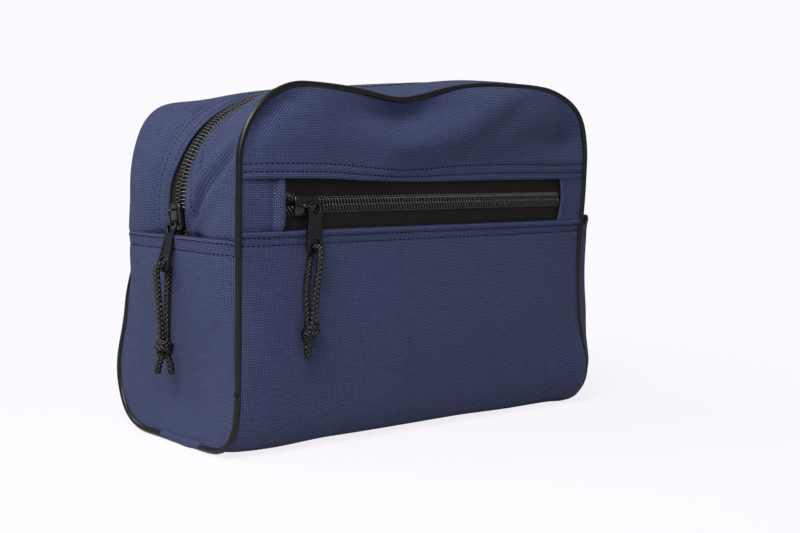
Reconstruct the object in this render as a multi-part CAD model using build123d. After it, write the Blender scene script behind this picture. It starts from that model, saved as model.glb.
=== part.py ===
from build123d import *
import math
import os

# Outline of the bag, measured to the centre of the piping in its seams
bag_width = 248.0
bag_depth = 104.0
bag_height = 184.0
top_corner_radius = 38.0
bottom_corner_radius = 30.0

# Cloth, piping and binding
fabric = 0.8
hem_width = 12.0
piping_diameter = 3.2
piping_clearance = 0.1
piping_lift = 0.6
binding_width = 6.2
binding_thickness = 1.2
lining_thickness = 0.5
lay_clearance = 0.1
body_clearance = 0.3

# Levels of the seams on the front and the sides, and the height of the pocket's mouth
pocket_lower_edge = 111.4
pocket_mouth_height = 25.1
side_panel_top = 108.1

# Pocket opening, between its two end strips
window_left = -96.0
window_right = 102.0
pocket_gap = 5.7

# Track of the main zip over the bag, at the cloth's outer face and a little below the seams
track_drop = 3.0
track_centre_rise = 12.9
track_fold_gap = 5.9

# How far the filled bag swells: the slack cloth beside the zip, the back and the sides
gusset_crown_left = 4.0
gusset_crown_right = 11.0
gusset_lean = 3.0
gusset_crest_share = 0.6
side_swell = 4.0
side_swell_edge = 16.0
side_swell_margin = 0.5
back_belly = 9.0
belly_edge = 24.0
belly_edge_share = 0.85
belly_middle_share = 0.55

# Zip, the same in both openings
tooth_pitch = 1.75
tooth_width = 0.72
chain_half_width = 3.2
chain_overlap = 0.45
chain_spine = 1.3
chain_thickness = 2.2
tape_thickness = 0.6
tape_edge_gap = 0.9
tape_hidden_width = 8.0
tape_tail = 8.0

# Slider of the zip
slider_length = 14.0
slider_plate = 1.2
slider_back_plate = 1.0
slider_clearance = 0.3
slider_wall = 0.75
slider_bridge_width = 0.9
slider_bridge_length = 2.6
slider_spread = 1.2
teeth_spread_slope = 0.35
slider_corner_radius = 1.6
bail_length = 9.0
bail_width = 1.6
bail_window_height = 2.6
bail_bar = 1.3
main_slider_bend_room = 0.5
main_slider_foot_gap = 1.4
pocket_slider_rest = -85.0

# Pull tab that hangs in the slider's bail
tab_thickness = 1.6
tab_ring_diameter = 8.4
tab_ring_wall = 1.4
tab_ring_play = 0.4
tab_length = 27.0
tab_foot_width = 10.5
tab_foot_radius = 3.6
tab_hole_diameter = 6.0
tab_foot_bar = 2.0
main_tab_lean = 14.0
pocket_tab_lean = 8.0

# Braided cord knotted through the pull tab
cord_diameter = 3.5
cord_fold_radius = 3.5
cord_bend_radius = 14.0
cord_loop_length = 34.0
knot_width = 8.0
knot_height = 9.5
cord_tail = 8.0
cord_tail_spread = 2.2

# Front flap, which folds forward when the main zip is open
flap_opening = 40.0
flap_side_drop = 10.5

# Cloth patch over the joint in the piping
patch_start = -20.0
patch_end = 16.0
patch_thickness = 0.55

half_width = bag_width / 2
half_depth = bag_depth / 2
piping_radius = piping_diameter / 2
seam_inset = piping_radius + piping_clearance
seam_top = bag_height - piping_radius
seam_bottom = piping_radius + piping_lift
hem = 2 * fabric
tape_inset = hem + lay_clearance
pocket_upper_edge = pocket_lower_edge + pocket_mouth_height
chain_height = (pocket_lower_edge + pocket_upper_edge) / 2
track_top = bag_height - track_drop
main_slider_rest_height = side_panel_top + main_slider_foot_gap + slider_length / 2
track_centre_z = side_panel_top + track_centre_rise
track_radius = track_top - track_centre_z
track_centre_x = half_width - math.sqrt(track_radius**2 - track_centre_rise**2)
seam_corner_z = seam_top - top_corner_radius
gusset_foot = side_panel_top + body_clearance
reach = 2 * bag_width

os.makedirs("parts", exist_ok=True)


def save(shape, name):
    export_step(shape, f"parts/{name}.step")


# Simple shapes that most pieces are cut from


def block(x, y, z):
    """A box given by its low and high x, y and z."""
    size = Box(x[1] - x[0], y[1] - y[0], z[1] - z[0])
    return Pos((x[0] + x[1]) / 2, (y[0] + y[1]) / 2, (z[0] + z[1]) / 2) * size


def side_profile(points):
    """A prism across the whole bag from a polygon of y and z."""
    return extrude(Plane.YZ * make_face(Polyline(*points, close=True)), reach / 2, both=True)


def front_outline(inset):
    """Prism along the depth whose outline is the front seam, moved in by inset."""
    tall = seam_top - inset + bag_height
    outline = Pos(0, seam_top - inset - tall / 2) * Rectangle(bag_width - 2 * inset, tall)
    corners = outline.vertices().sort_by(Axis.Y)[-2:]
    outline = fillet(corners, top_corner_radius - inset)
    return extrude(Plane.XZ * outline, reach / 2, both=True)


def side_outline(inset, bottom, radius):
    """Face across the depth with round lower corners, as the side seam."""
    tall = 2 * bag_height
    outline = Pos(0, bottom + tall / 2) * Rectangle(bag_depth - 2 * inset, tall)
    corners = outline.vertices().sort_by(Axis.Y)[:2]
    return fillet(corners, radius)


# The seam loop: over the front, under both sides and over the back


def seam_quarter(profile):
    """Carries a profile from the middle of the front's top to the middle of one side's foot."""
    level = top_corner_radius
    turn = bottom_corner_radius
    top = profile((0, -half_depth, seam_top), (1, 0, 0), (0, 1, 0))
    corner = profile((half_width - level, -half_depth, seam_top), (1, 0, 0), (0, 1, 0))
    upright = profile((half_width, -half_depth, seam_corner_z), (0, 0, -1), (0, 1, 0))
    under = profile((half_width, -half_depth, seam_bottom + turn), (0, 0, -1), (0, 1, 0))
    foot = profile((half_width, turn - half_depth, seam_bottom), (0, 1, 0), (0, 0, 1))
    corner_axis = Axis((half_width - level, -half_depth, seam_corner_z), (0, 1, 0))
    under_axis = Axis((half_width, turn - half_depth, seam_bottom + turn), (1, 0, 0))
    pieces = [
        extrude(top, half_width - level, dir=(1, 0, 0)),
        revolve(corner, corner_axis, 90),
        extrude(upright, seam_corner_z - seam_bottom - turn, dir=(0, 0, -1)),
        revolve(under, under_axis, 90),
        extrude(foot, half_depth - turn, dir=(0, 1, 0)),
    ]
    return pieces[0].fuse(*pieces[1:])


def seam_loop(profile):
    """The whole loop from four mirrored quarters."""
    right_front = seam_quarter(profile)
    right = right_front.fuse(mirror(right_front, Plane.XZ))
    return right.fuse(mirror(right, Plane.YZ))


def cord_section(radius):
    def profile(point, along, inward):
        return Plane(point, x_dir=inward, z_dir=along) * Circle(radius)

    return profile


def inward_pair(point, along):
    """The two directions that lead from a seam point into the bag, along its two cloths."""
    sideways = Vector(-1, 0, 0) if abs(along[0]) < 0.5 else Vector(0, 0, -1)
    if abs(along[1]) > 0.5:
        return Vector(-1, 0, 0), Vector(0, 0, 1)
    return sideways, Vector(0, 1, 0)


def binding_section(point, along, inward):
    """A flat strip that stands off the seam, half way between the two cloths."""
    first, second = inward_pair(point, along)
    slant = (first + second).normalized()
    across = (first - second).normalized() * (binding_thickness / 2)
    near = Vector(*point) + slant * (hem * math.sqrt(2) + binding_thickness / 2 + body_clearance)
    far = near + slant * binding_width
    return make_face(Polyline(near + across, far + across, far - across, near - across, close=True))


# Where the front flap parts from the rest of the bag

flap_slope = flap_side_drop / half_depth


def flap_region():
    """Everything that swings with the flap."""
    back = 2 * tape_edge_gap
    low = pocket_upper_edge - flap_slope * (half_depth + back)
    return side_profile(
        [
            (-half_depth, pocket_upper_edge),
            (back, low),
            (back, reach),
            (-reach, reach),
            (-reach, pocket_upper_edge),
        ]
    )


def flap_swing_room():
    """What the fixed pieces leave free, so that the flap can fold forward."""
    back = 2 * tape_edge_gap
    low = pocket_upper_edge - flap_slope * (half_depth + back) - body_clearance
    front_drop = math.tan(math.radians(flap_opening + 3)) * (reach - half_depth)
    return side_profile(
        [
            (-half_depth, pocket_upper_edge - body_clearance),
            (back, low),
            (back, reach),
            (-reach, reach),
            (-reach, pocket_upper_edge - body_clearance - front_drop),
        ]
    )


swinging = flap_region()
swing_room = flap_swing_room()


# Zip gusset: the strip with the main zip, over the bag from side to side


def arc_between(centre, radius, start, end, y):
    """Arc in a plane of constant depth, its angles in degrees up from straight outwards."""
    points = []
    for angle in (start, (start + end) / 2, end):
        turn = math.radians(angle)
        side = math.copysign(1, centre[0])
        points.append((centre[0] + side * radius * math.cos(turn), y, centre[1] + radius * math.sin(turn)))
    return ThreePointArc(*points)


def seam_arch(inset, y):
    """Line of the front or back seam over the bag, from the left foot to the right one."""
    edge = half_width - inset
    centre = half_width - top_corner_radius
    radius = top_corner_radius - inset
    top = seam_top - inset
    return [
        Line((-edge, y, gusset_foot), (-edge, y, seam_corner_z)),
        arc_between((-centre, seam_corner_z), radius, 0, 90, y),
        Line((-centre, y, top), (centre, y, top)),
        arc_between((centre, seam_corner_z), radius, 90, 0, y),
        Line((edge, y, seam_corner_z), (edge, y, gusset_foot)),
    ]


def track_angle(height, inset):
    return math.degrees(math.asin((height - track_centre_z) / (track_radius - inset)))


def track_arch(inset, y, foot=gusset_foot):
    """Line of the zip over the bag, which cuts the corners more than the seams do."""
    radius = track_radius - inset
    low = track_angle(foot, inset)
    middle = track_angle(seam_corner_z, inset)
    top = track_top - inset
    left = (-track_centre_x, track_centre_z)
    right = (track_centre_x, track_centre_z)
    return [
        arc_between(left, radius, low, middle, y),
        arc_between(left, radius, middle, 90, y),
        Line((-track_centre_x, y, top), (track_centre_x, y, top)),
        arc_between(right, radius, 90, middle, y),
        arc_between(right, radius, middle, low, y),
    ]


def crown_arch(inset, y):
    """Line along the crest of the slack cloth, which stands higher towards the right end."""
    bend = (top_corner_radius + track_radius) / 2
    edge = half_width + gusset_lean
    centre = edge - bend
    left_top = (seam_top + track_top) / 2 + gusset_crown_left
    right_top = (seam_top + track_top) / 2 + gusset_crown_right
    left_level = left_top - bend
    right_level = right_top - bend
    foot = half_width - inset
    return [
        Line((-foot, y, gusset_foot), (inset - edge, y, left_level)),
        arc_between((-centre, left_level), bend - inset, 0, 90, y),
        Line((-centre, y, left_top - inset), (centre, y, right_top - inset)),
        arc_between((centre, right_level), bend - inset, 90, 0, y),
        Line((edge - inset, y, right_level), (foot, y, gusset_foot)),
    ]


def arch_face(outer, inner):
    """Closes an outer and an inner line into a face."""
    start = Line(inner[0] @ 0, outer[0] @ 0)
    end = Line(outer[-1] @ 1, inner[-1] @ 1)
    return Face(Wire([start, *outer, end, *inner]))


def track_strip(outer_inset, inner_inset, near, far, foot=gusset_foot):
    """A band of even thickness along the zip's track, from one depth to another."""
    low, high = min(near, far), max(near, far)
    face = arch_face(track_arch(outer_inset, low, foot), track_arch(inner_inset, low, foot))
    return extrude(face, high - low, dir=(0, 1, 0))


def zip_gusset(side):
    """One half of the gusset: slack cloth from the seam, then the fold along the zip."""
    seam_edge = side * (half_depth - seam_inset)
    hem_edge = side * (track_fold_gap + hem_width)
    fold = side * track_fold_gap
    at_seam = arch_face(seam_arch(0, seam_edge), seam_arch(fabric, seam_edge))
    crest = seam_edge + gusset_crest_share * (hem_edge - seam_edge)
    at_crest = arch_face(crown_arch(0, crest), crown_arch(fabric, crest))
    at_hem = arch_face(track_arch(0, hem_edge), track_arch(fabric, hem_edge))
    slack = loft([at_seam, at_crest, at_hem], ruled=True)
    return slack.fuse(track_strip(0, hem, hem_edge, fold))


gusset_front = zip_gusset(-1)
save(zip_gusset(1), "zip_gusset_back")
save(gusset_front & swinging, "zip_gusset_front")
gusset_ends = (gusset_front - swing_room).solids().sort_by(Axis.X)
save(gusset_ends[0], "zip_gusset_front_end_left")
save(gusset_ends[-1], "zip_gusset_front_end_right")


# Body wrap: front lower panel, base and back panel in one length of cloth


def wrap_section(x, belly, inset):
    """Outline across the depth at one x, whose back stands out by belly above the base."""
    wall = half_depth - inset
    level = bottom_corner_radius
    flat = half_depth - level
    low = inset + (level - inset) * (1 - math.sqrt(0.5))
    bend = flat + (level - inset) * math.sqrt(0.5)
    top = seam_top + inset
    return Face(
        Wire(
            [
                Line((x, -wall, top), (x, -wall, level)),
                ThreePointArc((x, -wall, level), (x, -bend, low), (x, -flat, inset)),
                Line((x, -flat, inset), (x, flat + belly, inset)),
                ThreePointArc(
                    (x, flat + belly, inset), (x, bend + belly, low), (x, wall + belly, level)
                ),
                ThreePointArc(
                    (x, wall + belly, level),
                    (x, wall + belly_middle_share * belly, (level + top) / 2),
                    (x, wall, top),
                ),
                Line((x, wall, top), (x, -wall, top)),
            ]
        )
    )


def wrap_body(inset):
    """Solid body from side to side, with the back's belly fading out towards the side seams."""
    flank = half_width - belly_edge
    stations = [
        (-half_width, 0.01),
        (-flank, belly_edge_share * back_belly),
        (0, back_belly),
        (flank, belly_edge_share * back_belly),
        (half_width, 0.01),
    ]
    return loft([wrap_section(x, belly, inset) for x, belly in stations], ruled=True)


def body_wrap():
    wrap = (wrap_body(0) - wrap_body(fabric)) & front_outline(seam_inset)
    wrap -= block((-reach, reach), (-reach, 0), (pocket_lower_edge, reach))
    across = half_width - seam_inset
    fold = block(
        (-across, across),
        (fabric - half_depth, hem - half_depth),
        (pocket_lower_edge - hem_width, pocket_lower_edge),
    )
    return wrap.fuse(fold)


save(body_wrap(), "body_wrap")


# Side panels, with a folded hem along the top and a U-shaped foot


def swell_section(x, inset):
    """Outline across a side panel under its hem, moved in by inset."""
    wall = half_depth - seam_inset - inset
    low = seam_bottom + seam_inset + inset
    high = side_panel_top - hem_width - inset
    radius = bottom_corner_radius - seam_inset - inset
    level = low + radius
    flat = wall - radius
    bend = radius * math.sqrt(0.5)
    return Face(
        Wire(
            [
                Line((x, -wall, high), (x, -wall, level)),
                ThreePointArc((x, -wall, level), (x, -flat - bend, level - bend), (x, -flat, low)),
                Line((x, -flat, low), (x, flat, low)),
                ThreePointArc((x, flat, low), (x, flat + bend, level - bend), (x, wall, level)),
                Line((x, wall, level), (x, wall, high)),
                Line((x, wall, high), (x, -wall, high)),
            ]
        )
    )


def side_bulge(side, start):
    """What a side panel swells by, from a start on its plane outwards."""
    near = swell_section(side * start, side_swell_margin)
    far = swell_section(side * (start + side_swell), side_swell_edge)
    return loft([near, far], ruled=True)


def side_panel(side):
    """side is -1 for the left panel and 1 for the right one."""
    radius = bottom_corner_radius - seam_inset
    outline = side_outline(seam_inset, seam_bottom + seam_inset, radius)
    slab = extrude(Plane.YZ * outline, reach, both=True)
    across = sorted((side * half_width, side * (half_width - fabric)))
    doubled = sorted((side * half_width, side * (half_width - hem)))
    cloth = block(across, (-reach, reach), (0, side_panel_top))
    fold = block(doubled, (-reach, reach), (side_panel_top - hem_width, side_panel_top))
    flat_panel = slab & cloth.fuse(fold)
    return flat_panel.fuse(side_bulge(side, half_width)) - side_bulge(side, half_width - fabric)


save(side_panel(-1), "side_panel_left")
save(side_panel(1), "side_panel_right")


# Front top band, the cloth above the pocket


def front_top_band():
    cloth = block((-reach, reach), (-half_depth, fabric - half_depth), (pocket_upper_edge, reach))
    fold_top = pocket_upper_edge + hem_width
    fold = block((-reach, reach), (-half_depth, hem - half_depth), (pocket_upper_edge, fold_top))
    return front_outline(seam_inset) & cloth.fuse(fold)


save(front_top_band(), "front_top_band")


# Front pocket: end strips, lining and zip tapes

tape_face = tape_inset - half_depth


def end_strip(near, far):
    """Folded strip that closes one end of the pocket's opening."""
    level = (pocket_lower_edge + body_clearance, pocket_upper_edge - body_clearance)
    return block((near, far), (lay_clearance - half_depth, hem - half_depth), level)


def pocket_lining():
    """Inner wall of the pocket, sewn to the upper tape and dropped to the base's curve."""
    back = fabric + pocket_gap - half_depth
    near = tape_face + tape_thickness + lay_clearance
    radius = bottom_corner_radius - fabric
    foot_offset = half_depth - bottom_corner_radius + back
    foot = bottom_corner_radius - math.sqrt(radius**2 - foot_offset**2) + body_clearance
    top = pocket_upper_edge - body_clearance
    neck = top - 2
    shoulder = chain_height + 2
    thick = lining_thickness
    outline = [
        (near, top),
        (near, neck),
        (back, shoulder),
        (back, foot),
        (back + thick, foot),
        (back + thick, shoulder),
        (near + thick, neck),
        (near + thick, top),
    ]
    sewn_width = half_width - 2 * piping_diameter - 1.6
    return side_profile(outline) & block((-sewn_width, sewn_width), (-reach, reach), (-reach, reach))


def pocket_tape(low, high):
    along = (window_left - tape_hidden_width, window_right + tape_hidden_width)
    return block(along, (tape_face, tape_face + tape_thickness), (low, high))


save(end_strip(seam_inset - half_width, window_left), "pocket_end_strip_left")
save(end_strip(window_right, half_width - seam_inset), "pocket_end_strip_right")
save(pocket_lining(), "pocket_lining")
upper_tape_top = pocket_upper_edge - body_clearance
lower_tape_foot = pocket_lower_edge - tape_hidden_width
save(pocket_tape(chain_height + tape_edge_gap, upper_tape_top), "pocket_tape_upper")
save(pocket_tape(lower_tape_foot, chain_height - tape_edge_gap), "pocket_tape_lower")


# Pocket zip's teeth: two combs that mesh, and part where the slider's bridge stands

parting_stations = (
    pocket_slider_rest,
    pocket_slider_rest - slider_length / 2 + slider_bridge_length,
    pocket_slider_rest - slider_length / 2,
)


def parting(along):
    """How far each row of teeth stands out from the middle, before and in the slider."""
    joined, bridge_end, slider_end = parting_stations
    if along >= joined:
        return 0.0
    if along >= bridge_end:
        return slider_spread * (joined - along) / (joined - bridge_end)
    return slider_spread + teeth_spread_slope * max(0, slider_end - along)


def pocket_comb(side):
    """side is 1 for the upper row and -1 for the lower one, half a pitch further on."""
    end_gap = tooth_pitch / 2
    start = window_left + end_gap
    count = int((window_right - window_left - 2 * end_gap) / tooth_pitch)
    first = start + (0 if side > 0 else tooth_pitch / 2)
    spine = chain_half_width - chain_spine
    teeth = []
    for index in range(count):
        centre = first + index * tooth_pitch
        left = centre - tooth_width / 2
        right = centre + tooth_width / 2
        teeth += [
            (left, spine + parting(left)),
            (left, parting(left) - chain_overlap),
            (right, parting(right) - chain_overlap),
            (right, spine + parting(right)),
        ]
    last = teeth[-1][0]
    back = [(last, chain_half_width)]
    for along in (*parting_stations, teeth[0][0]):
        back.append((along, chain_half_width + parting(along)))
    outline = [(x, chain_height + side * z) for x, z in teeth + back]
    comb = make_face(Polyline(*outline, close=True))
    return extrude(Pos(0, tape_face, 0) * (Plane.XZ * comb), chain_thickness, dir=(0, -1, 0))


save(pocket_comb(1), "pocket_teeth_upper")
save(pocket_comb(-1), "pocket_teeth_lower")


# Main zip's tapes and rows of teeth, which lie on the track


def slider_turn(height):
    """Angle on the track at a height, at the tape's outer face."""
    return track_angle(height, tape_inset)


def main_tape(side):
    near = side * tape_edge_gap
    far = side * (track_fold_gap + tape_hidden_width)
    return track_strip(tape_inset, tape_inset + tape_thickness, near, far, gusset_foot - tape_tail)


def main_teeth(side):
    """Row of teeth on one tape, notched where the slider's bridge parts the two rows."""
    row = track_strip(
        tape_inset - chain_thickness,
        tape_inset,
        side * lay_clearance / 2,
        side * chain_half_width,
    )
    notch = slider_bridge_width / 2 + body_clearance
    bridge_top = main_slider_rest_height - slider_length / 2 + slider_bridge_length + body_clearance
    return row - block((-reach, 0), (-notch, notch), (0, bridge_top))


save(main_tape(1), "main_tape_back")
save(main_teeth(1), "main_teeth_back")
save(main_tape(-1) & swinging, "main_tape_front")
save(main_teeth(-1) & swinging, "main_teeth_front")
save(main_tape(-1) - swing_room, "main_tape_front_ends")
save(main_teeth(-1) - swing_room, "main_teeth_front_ends")


# Piping and seam binding, both once round the seam loop

piping = seam_loop(cord_section(piping_radius))
binding = seam_loop(binding_section)
save(piping & swinging, "piping_front")
save(piping - swing_room, "piping_loop")
save(binding & swinging, "seam_binding_front")
save(binding - swing_room, "seam_binding_loop")


def piping_patch():
    """Bit of cloth wrapped round the piping's joint, under the left side."""
    outer = piping_radius + patch_thickness
    inner = piping_radius + piping_clearance / 2
    ring = Plane(
        (-half_width, patch_start, seam_bottom), x_dir=(1, 0, 0), z_dir=(0, 1, 0)
    ) * (Circle(outer) - Circle(inner))
    sleeve = extrude(ring, patch_end - patch_start)
    side_cloth = block((-reach, reach), (-reach, reach), (seam_bottom + inner, reach))
    base_cloth = block((inner - half_width, reach), (-reach, reach), (-reach, reach))
    inner_corner = block((-half_width, reach), (-reach, reach), (seam_bottom, reach))
    return sleeve - side_cloth - base_cloth - inner_corner


save(piping_patch(), "piping_joint_cover")


# Sliders, drawn lying flat: x runs to the closed teeth, y across, z outwards from the tape


def slider_outline(narrow, wide, length):
    half = length / 2
    points = [(half, narrow), (-half, wide), (-half, -wide), (half, -narrow)]
    return make_face(Polyline(*points, close=True))


def bail():
    """Arch along the slider that the pull tab's ring hangs in."""
    base = chain_thickness + slider_clearance + slider_plate
    tall = bail_window_height + bail_bar
    outer = Pos(0, base + tall / 2) * Rectangle(bail_length, tall)
    outer = fillet(outer.vertices().sort_by(Axis.Y)[-2:], bail_bar + 0.6)
    window_length = bail_length - 2 * bail_bar
    window = Pos(0, base + bail_window_height / 2) * Rectangle(window_length, bail_window_height)
    window = fillet(window.vertices().sort_by(Axis.Y)[-2:], 0.6)
    arch = Plane.XZ * (outer - window)
    return extrude(arch, bail_width / 2, both=True)


def slider(back_room):
    """Two plates joined by the bridge that parts the teeth; the front one wraps round them."""
    narrow = chain_half_width + slider_clearance
    wide = chain_half_width + slider_spread + slider_clearance
    plate = slider_outline(narrow + slider_wall, wide + slider_wall, slider_length)
    plate = fillet(plate.vertices(), slider_corner_radius)
    channel = slider_outline(narrow, wide, slider_length)
    roof = chain_thickness + slider_clearance
    front = extrude(plate, roof + slider_plate - slider_clearance)
    front -= extrude(channel, roof - slider_clearance)
    shell = Pos(0, 0, slider_clearance) * front
    floor = -(tape_thickness + back_room)
    back = Pos(0, 0, floor - slider_back_plate) * extrude(plate, slider_back_plate)
    bridge = block(
        (-slider_length / 2, slider_bridge_length - slider_length / 2),
        (-slider_bridge_width / 2, slider_bridge_width / 2),
        (floor, roof),
    )
    return shell.fuse(back, bridge, bail())


pocket_slider_place = Plane(
    (pocket_slider_rest, tape_face, chain_height), x_dir=(1, 0, 0), z_dir=(0, -1, 0)
)


def main_slider_place():
    turn = math.radians(slider_turn(main_slider_rest_height))
    outwards = Vector(-math.cos(turn), 0, math.sin(turn))
    upwards = Vector(math.sin(turn), 0, math.cos(turn))
    centre = Vector(-track_centre_x, 0, track_centre_z)
    point = centre + outwards * (track_radius - tape_inset)
    return Plane(point, x_dir=upwards, z_dir=outwards)


main_slider_place = main_slider_place()
save(pocket_slider_place * slider(slider_clearance), "pocket_slider")
save(main_slider_place * slider(slider_clearance + main_slider_bend_room), "main_slider")


# Pull tabs, drawn hanging: x across, y up from the ring's centre, z through the tab


def pull_tab():
    ring_radius = tab_ring_diameter / 2
    foot = ring_radius - tab_length
    half_foot = tab_foot_width / 2
    neck = ring_radius * 0.62
    body = make_face(
        Polyline((-neck, 0), (-half_foot, foot), (half_foot, foot), (neck, 0), close=True)
    )
    body = fillet(body.vertices().sort_by(Axis.Y)[:2], tab_foot_radius)
    hole_radius = tab_hole_diameter / 2
    hole = Pos(0, foot + tab_foot_bar + hole_radius) * Circle(hole_radius)
    ring_hole = Circle(ring_radius - tab_ring_wall)
    outline = body + Circle(ring_radius) - hole - ring_hole
    return extrude(outline, tab_thickness / 2, both=True)


tab_bar_drop = tab_length - tab_ring_diameter / 2 - tab_foot_bar / 2
ring_inner = tab_ring_diameter / 2 - tab_ring_wall
bail_middle = chain_thickness + slider_clearance + slider_plate + bail_window_height / 2
bail_post = bail_length / 2 - bail_bar / 2


def main_tab_place():
    """The ring's upper side lies in the bail and the tab leans out from the bag."""
    pivot = main_slider_place.from_local_coords(
        Vector(-bail_length / 2 + bail_bar + tab_ring_wall / 2 + tab_ring_play, 0, bail_middle)
    )
    lean = math.radians(main_tab_lean)
    up = Vector(math.sin(lean), 0, math.cos(lean))
    centre = pivot - up * (tab_ring_diameter / 2 - tab_ring_wall / 2)
    return pivot, Plane(centre, x_dir=(0, 1, 0), z_dir=Vector(0, 1, 0).cross(up))


def pocket_tab_place():
    """The ring hangs on the bail's right-hand post and the tab leans out from the bag."""
    post = pocket_slider_place.from_local_coords(Vector(bail_post, 0, bail_middle))
    lean = math.radians(pocket_tab_lean)
    up = Vector(0, math.sin(lean), math.cos(lean))
    drop = ring_inner - math.hypot(bail_bar, bail_width) / 2 - lay_clearance
    centre = post - up * drop
    return post, Plane(centre, x_dir=(1, 0, 0), z_dir=Vector(1, 0, 0).cross(up))


main_pivot, main_tab_plane = main_tab_place()
pocket_pivot, pocket_tab_plane = pocket_tab_place()
save(main_tab_plane * pull_tab(), "main_pull_tab")
save(pocket_tab_plane * pull_tab(), "pocket_pull_tab")


# Pull cords, drawn hanging from the tab's foot bar: x out from the bag, z up


def knot():
    """The knot's outline as a barrel with sloped ends."""
    top = -cord_loop_length
    foot = top - knot_height
    shoulder = knot_height / 4
    half = knot_width / 2
    neck = half * 0.55
    outline = [
        (0, top),
        (neck, top),
        (half, top - shoulder),
        (half, foot + shoulder),
        (neck, foot),
        (0, foot),
    ]
    return revolve(Plane.XZ * make_face(Polyline(*outline, close=True)), Axis.Z)


def pull_cord():
    """A loop through the tab's hole, knotted below, with two short tails."""
    radius = cord_diameter / 2
    fold = cord_fold_radius
    neck = radius + lay_clearance
    knot_middle = -cord_loop_length - knot_height / 2
    run = FilletPolyline(
        (fold, 0, 0),
        (fold, 0, -0.55 * cord_loop_length),
        (neck, 0, knot_middle),
        radius=cord_bend_radius,
    )
    strand = sweep(Plane(run @ 0, z_dir=run % 0) * Circle(radius), run)
    tail = Line(
        (neck, 0, knot_middle - knot_height / 4),
        (neck + cord_tail_spread, 0, knot_middle - knot_height / 2 - cord_tail),
    )
    tail_end = sweep(Plane(tail @ 0, z_dir=tail % 0) * Circle(radius), tail)
    turn = Plane((fold, 0, 0), x_dir=(1, 0, 0), z_dir=(0, 0, 1)) * Circle(radius)
    cord = knot().fuse(revolve(turn, Axis((0, 0, 0), (0, -1, 0)), 180))
    for piece in (strand, tail_end):
        cord = cord.fuse(piece).fuse(mirror(piece, Plane.YZ))
    return cord


def cord_place(tab_plane, outwards):
    bar = tab_plane.from_local_coords(Vector(0, -tab_bar_drop, 0))
    return Plane(bar, x_dir=outwards, z_dir=(0, 0, 1))


main_cord_plane = cord_place(main_tab_plane, (-1, 0, 0))
pocket_cord_plane = cord_place(pocket_tab_plane, (0, -1, 0))
cord = pull_cord()
save(main_cord_plane * cord, "main_pull_cord")
save(pocket_cord_plane * cord, "pocket_pull_cord")

print("cord runs in arcs of radius", cord_fold_radius, "and", cord_bend_radius, "mm")
print("joint points, in mm")
print("main slider turns about", (-track_centre_x, 0, track_centre_z))
print("main tab turns about", main_pivot)
print("main cord turns about", main_cord_plane.origin)
print("pocket tab turns about", pocket_pivot)
print("pocket cord turns about", pocket_cord_plane.origin)
print("flap folds about", (0, -half_depth, pocket_upper_edge))
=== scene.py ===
"""Looks of a soft zipped carrying bag in navy polyester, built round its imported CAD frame."""

import math

import bmesh
import bpy
import numpy as np
from mathutils import Matrix, Vector


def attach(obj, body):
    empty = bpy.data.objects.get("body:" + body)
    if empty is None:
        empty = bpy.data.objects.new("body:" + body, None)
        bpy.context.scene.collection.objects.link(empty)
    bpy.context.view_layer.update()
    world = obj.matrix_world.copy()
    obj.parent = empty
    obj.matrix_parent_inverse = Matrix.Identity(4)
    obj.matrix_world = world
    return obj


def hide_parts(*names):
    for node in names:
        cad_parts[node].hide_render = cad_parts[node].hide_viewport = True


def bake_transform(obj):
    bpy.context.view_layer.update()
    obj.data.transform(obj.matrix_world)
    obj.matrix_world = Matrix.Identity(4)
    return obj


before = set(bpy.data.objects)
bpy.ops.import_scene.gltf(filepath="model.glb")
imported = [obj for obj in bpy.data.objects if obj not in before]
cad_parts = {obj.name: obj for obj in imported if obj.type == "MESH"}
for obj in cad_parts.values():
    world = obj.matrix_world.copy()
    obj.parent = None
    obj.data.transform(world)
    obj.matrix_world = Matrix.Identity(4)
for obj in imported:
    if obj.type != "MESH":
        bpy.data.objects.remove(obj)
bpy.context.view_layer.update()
MM = 0.001

# Camera, floor and lights. The bag stands on a pale table in broad soft light from the upper left,
# and the camera looks at its left front corner from a little above its top.

CAMERA_PLACE = Vector((-0.4811, -0.5778, 0.1571))
CAMERA_TURN = math.radians(41.18)
CAMERA_DIP = math.radians(5.47)
CAMERA_ROLL = math.radians(1.04)
LENS_PER_WIDTH = 1324 / 800
WHITE = (0.98, 0.955, 1, 1)

scene = bpy.context.scene
scene.view_settings.view_transform = "Standard"


def shown(name, data):
    """An object with its data, in the scene."""
    item = bpy.data.objects.new(name, data)
    scene.collection.objects.link(item)
    return item


camera_data = bpy.data.cameras.new("camera")
camera_data.sensor_width = 36
camera_data.lens = LENS_PER_WIDTH * camera_data.sensor_width
camera_data.clip_start = 0.01
scene.camera = shown("camera", camera_data)
scene.camera.matrix_world = (
    Matrix.Translation(CAMERA_PLACE)
    @ Matrix.Rotation(-CAMERA_TURN, 4, "Z")
    @ Matrix.Rotation(math.pi / 2 - CAMERA_DIP, 4, "X")
    @ Matrix.Rotation(CAMERA_ROLL, 4, "Z")
)

for name, stand, aim, width, watts in (
    ("key", (-1.3, -0.66, 1.65), (-0.05, 0, 0.09), 0.8, 30),
    ("near_fill", (-0.4, -0.4, 0.45), (-0.1, 0, 0.14), 0.3, 2.1),
    ("front_fill", (-0.4, -1.6, 0.5), (0, 0, 0.09), 1.0, 0.8),
    ("rear_fill", (-0.95, 0.9, 1.6), (0, 0, 0.12), 1.0, 15),
):
    soft_box = bpy.data.lights.new(name, "AREA")
    soft_box.size = width
    soft_box.energy = watts
    lamp = shown(name, soft_box)
    lamp.location = stand
    lamp.rotation_euler = (Vector(aim) - Vector(stand)).to_track_quat("-Z", "Y").to_euler()


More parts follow.
